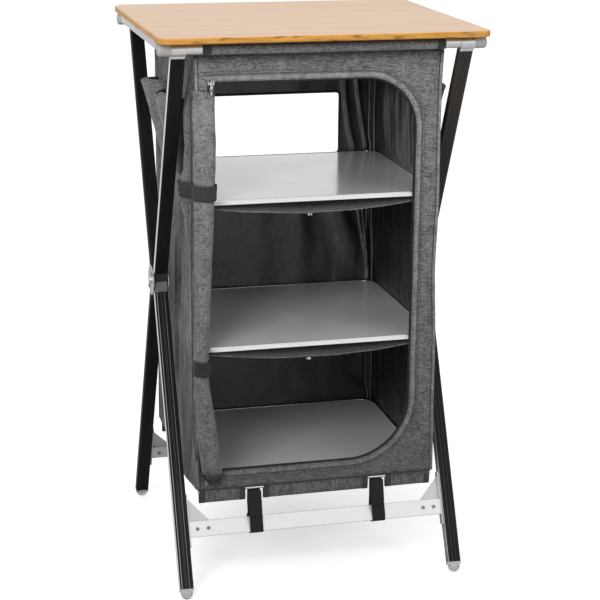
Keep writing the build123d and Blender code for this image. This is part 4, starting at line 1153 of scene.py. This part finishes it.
def pocket(side, label, low, high):
    """An open pouch: half an oval at the top, flatter and narrower at its foot."""
    angle, v = np.meshgrid(np.linspace(-math.pi / 2, math.pi / 2, 44), np.linspace(0, 1, 30))
    share = 0.6 + 0.4 * v
    middle = (low + high) / 2 * share
    half = (high - low) / 2 * share
    bulge = (POCKET_FOOT + POCKET_SWELL * v ** 0.85) * (1.0 if side < 0 else 0.84)
    near = smoothstep(-np.sin(angle), -0.45, 0.5)
    if low < 0:
        tip = (8.0 * near - 11.0 * (1 - near)) * np.cos(angle) ** 0.5
    else:
        tip = 7.0 * near - 5.0 * (1 - near)
    z = POCKET_LOW + (POCKET_HIGH - POCKET_LOW) * v + tip * v ** 3
    x = HALF + POCKET_OFF + bulge * np.cos(angle) ** 0.75
    y = middle + half * np.sign(angle) * np.abs(np.sin(angle)) ** 0.95
    points = points_at(x, y, z)
    slack = ripple(points, (40, 22, 50), 3.0 + low) * 2.2 - creases(points, (60, 26, 60), low, 2.6) * 1.6
    points[..., 0] += slack * np.cos(angle) * smoothstep(v, 0, 0.15)
    points[..., 0] = side * np.minimum(points[..., 0], HALF + POCKET_OFF + POCKET_FOOT + POCKET_SWELL)
    piece = cloth(f"pocket_{label}", points, (SIDE_HEATHER, LINING), 1.2, -1.0, "carcass",
                  *(("side_pockets",) if label == "left_front" else ()), turn=side < 0)
    top_edge = points[-1] + np.array([side * -0.4, 0, -0.6])
    pipe(f"pocket_hem_{label}", top_edge, 1.5, SIDE_HEATHER, "carcass")
    stitches(f"pocket_stitches_{label}", [points[-6] + np.array([side * 0.5, 0, 0])], (side, 0, 0), "carcass")


for side, name in ((-1, "left"), (1, "right")):
    pocket(side, f"{name}_front", -157.0, 19.0)
    pocket(side, f"{name}_rear", 33.0, 157.0)


# Floor, light and camera

FLOOR_REACH, FLOOR_Z = 9000, -0.6
floor_points = [(x * FLOOR_REACH, y * FLOOR_REACH, FLOOR_Z) for x, y in ((-1, -1), (1, -1), (1, 1), (-1, 1))]
pale = Paint("floor_pale", Roughness=0.9, Specular_IOR_Level=0.1, Emission_Color=(1, 1, 1, 1))
rays = pale.node("LightPath", {}).outputs
seen = rays["Is Camera Ray"]
either = pale.math("MAXIMUM", seen, pale.times(rays["Is Glossy Ray"], 0.6))
pale.drive("Base Color", pale.mix(either, grey(0.34), grey(0.98)))
pale.drive("Emission Strength", pale.times(seen, 0.46))
floor = make("floor", floor_points, [(0, 1, 2, 3)], pale.material, smooth=False)


def backdrop_world():
    """A white world for the camera and for reflections, and a plainer one for light."""
    world = bpy.data.worlds.new("studio")
    scene.world = world
    world.use_nodes = True
    tree = world.node_tree
    rays = add_node(tree, "LightPath", {}).outputs
    shown = add_node(tree, "Math", {0: rays["Is Camera Ray"], 1: rays["Is Glossy Ray"]}, operation="MAXIMUM")
    either = add_node(tree, "Math", {0: shown.outputs[0], 1: rays["Is Transmission Ray"]}, operation="MAXIMUM")
    lit = tree.nodes["Background"]
    lit.inputs["Color"].default_value = (1, 1, 1, 1)
    lit.inputs["Strength"].default_value = 0.62
    seen = add_node(tree, "Background", {"Color": (1, 1, 1, 1), "Strength": 1.0})
    blend = add_node(tree, "MixShader", {"Fac": either.outputs[0], 1: lit.outputs[0], 2: seen.outputs[0]})
    tree.links.new(blend.outputs[0], tree.nodes["World Output"].inputs["Surface"])


backdrop_world()


def lamp(name, place, target, size, power):
    """A rectangular area light aimed at a target."""
    data = bpy.data.lights.new(name, "AREA")
    data.shape = "RECTANGLE"
    data.size, data.size_y = size
    data.energy = power
    light = bpy.data.objects.new(name, data)
    light.location = place
    way = Vector(target) - Vector(place)
    light.rotation_euler = way.to_track_quat("-Z", "Y").to_euler()
    scene.collection.objects.link(light)


lamp("key", (-2.0, -2.9, 2.4), (0, 0, 0.75), (1.5, 1.5), 62)
lamp("fill", (2.2, -2.8, 1.9), (0, 0, 0.8), (1.2, 1.8), 15)
lamp("above", (0.1, -0.3, 3.1), (0, 0, 1.0), (2.0, 2.0), 8)

# Camera: fitted to the tabletop's corners, the legs and the shelves in the photograph
YAW, PITCH, ROLL = 0.2538, 0.2804, 0.0088
CAMERA_PLACE, FOCAL_PIXELS, PHOTO_PIXELS = (-0.7982023, -3.1432971, 1.4232583), 1723.57, 600
forward = Vector((math.sin(YAW) * math.cos(PITCH), math.cos(YAW) * math.cos(PITCH), -math.sin(PITCH)))
level = Vector((math.cos(YAW), -math.sin(YAW), 0))
upward = level.cross(forward)
right = level * math.cos(ROLL) + upward * math.sin(ROLL)
upright = upward * math.cos(ROLL) - level * math.sin(ROLL)
camera_data = bpy.data.cameras.new("camera")
camera_data.sensor_width = 36.0
camera_data.lens = FOCAL_PIXELS / PHOTO_PIXELS * camera_data.sensor_width
camera_data.clip_start, camera_data.clip_end = 0.1, 60.0
camera = bpy.data.objects.new("camera", camera_data)
turned = Matrix((right, upright, -forward)).transposed().to_4x4()
camera.matrix_world = Matrix.Translation(CAMERA_PLACE) @ turned
scene.collection.objects.link(camera)
scene.camera = camera
scene.view_settings.view_transform = "Standard"
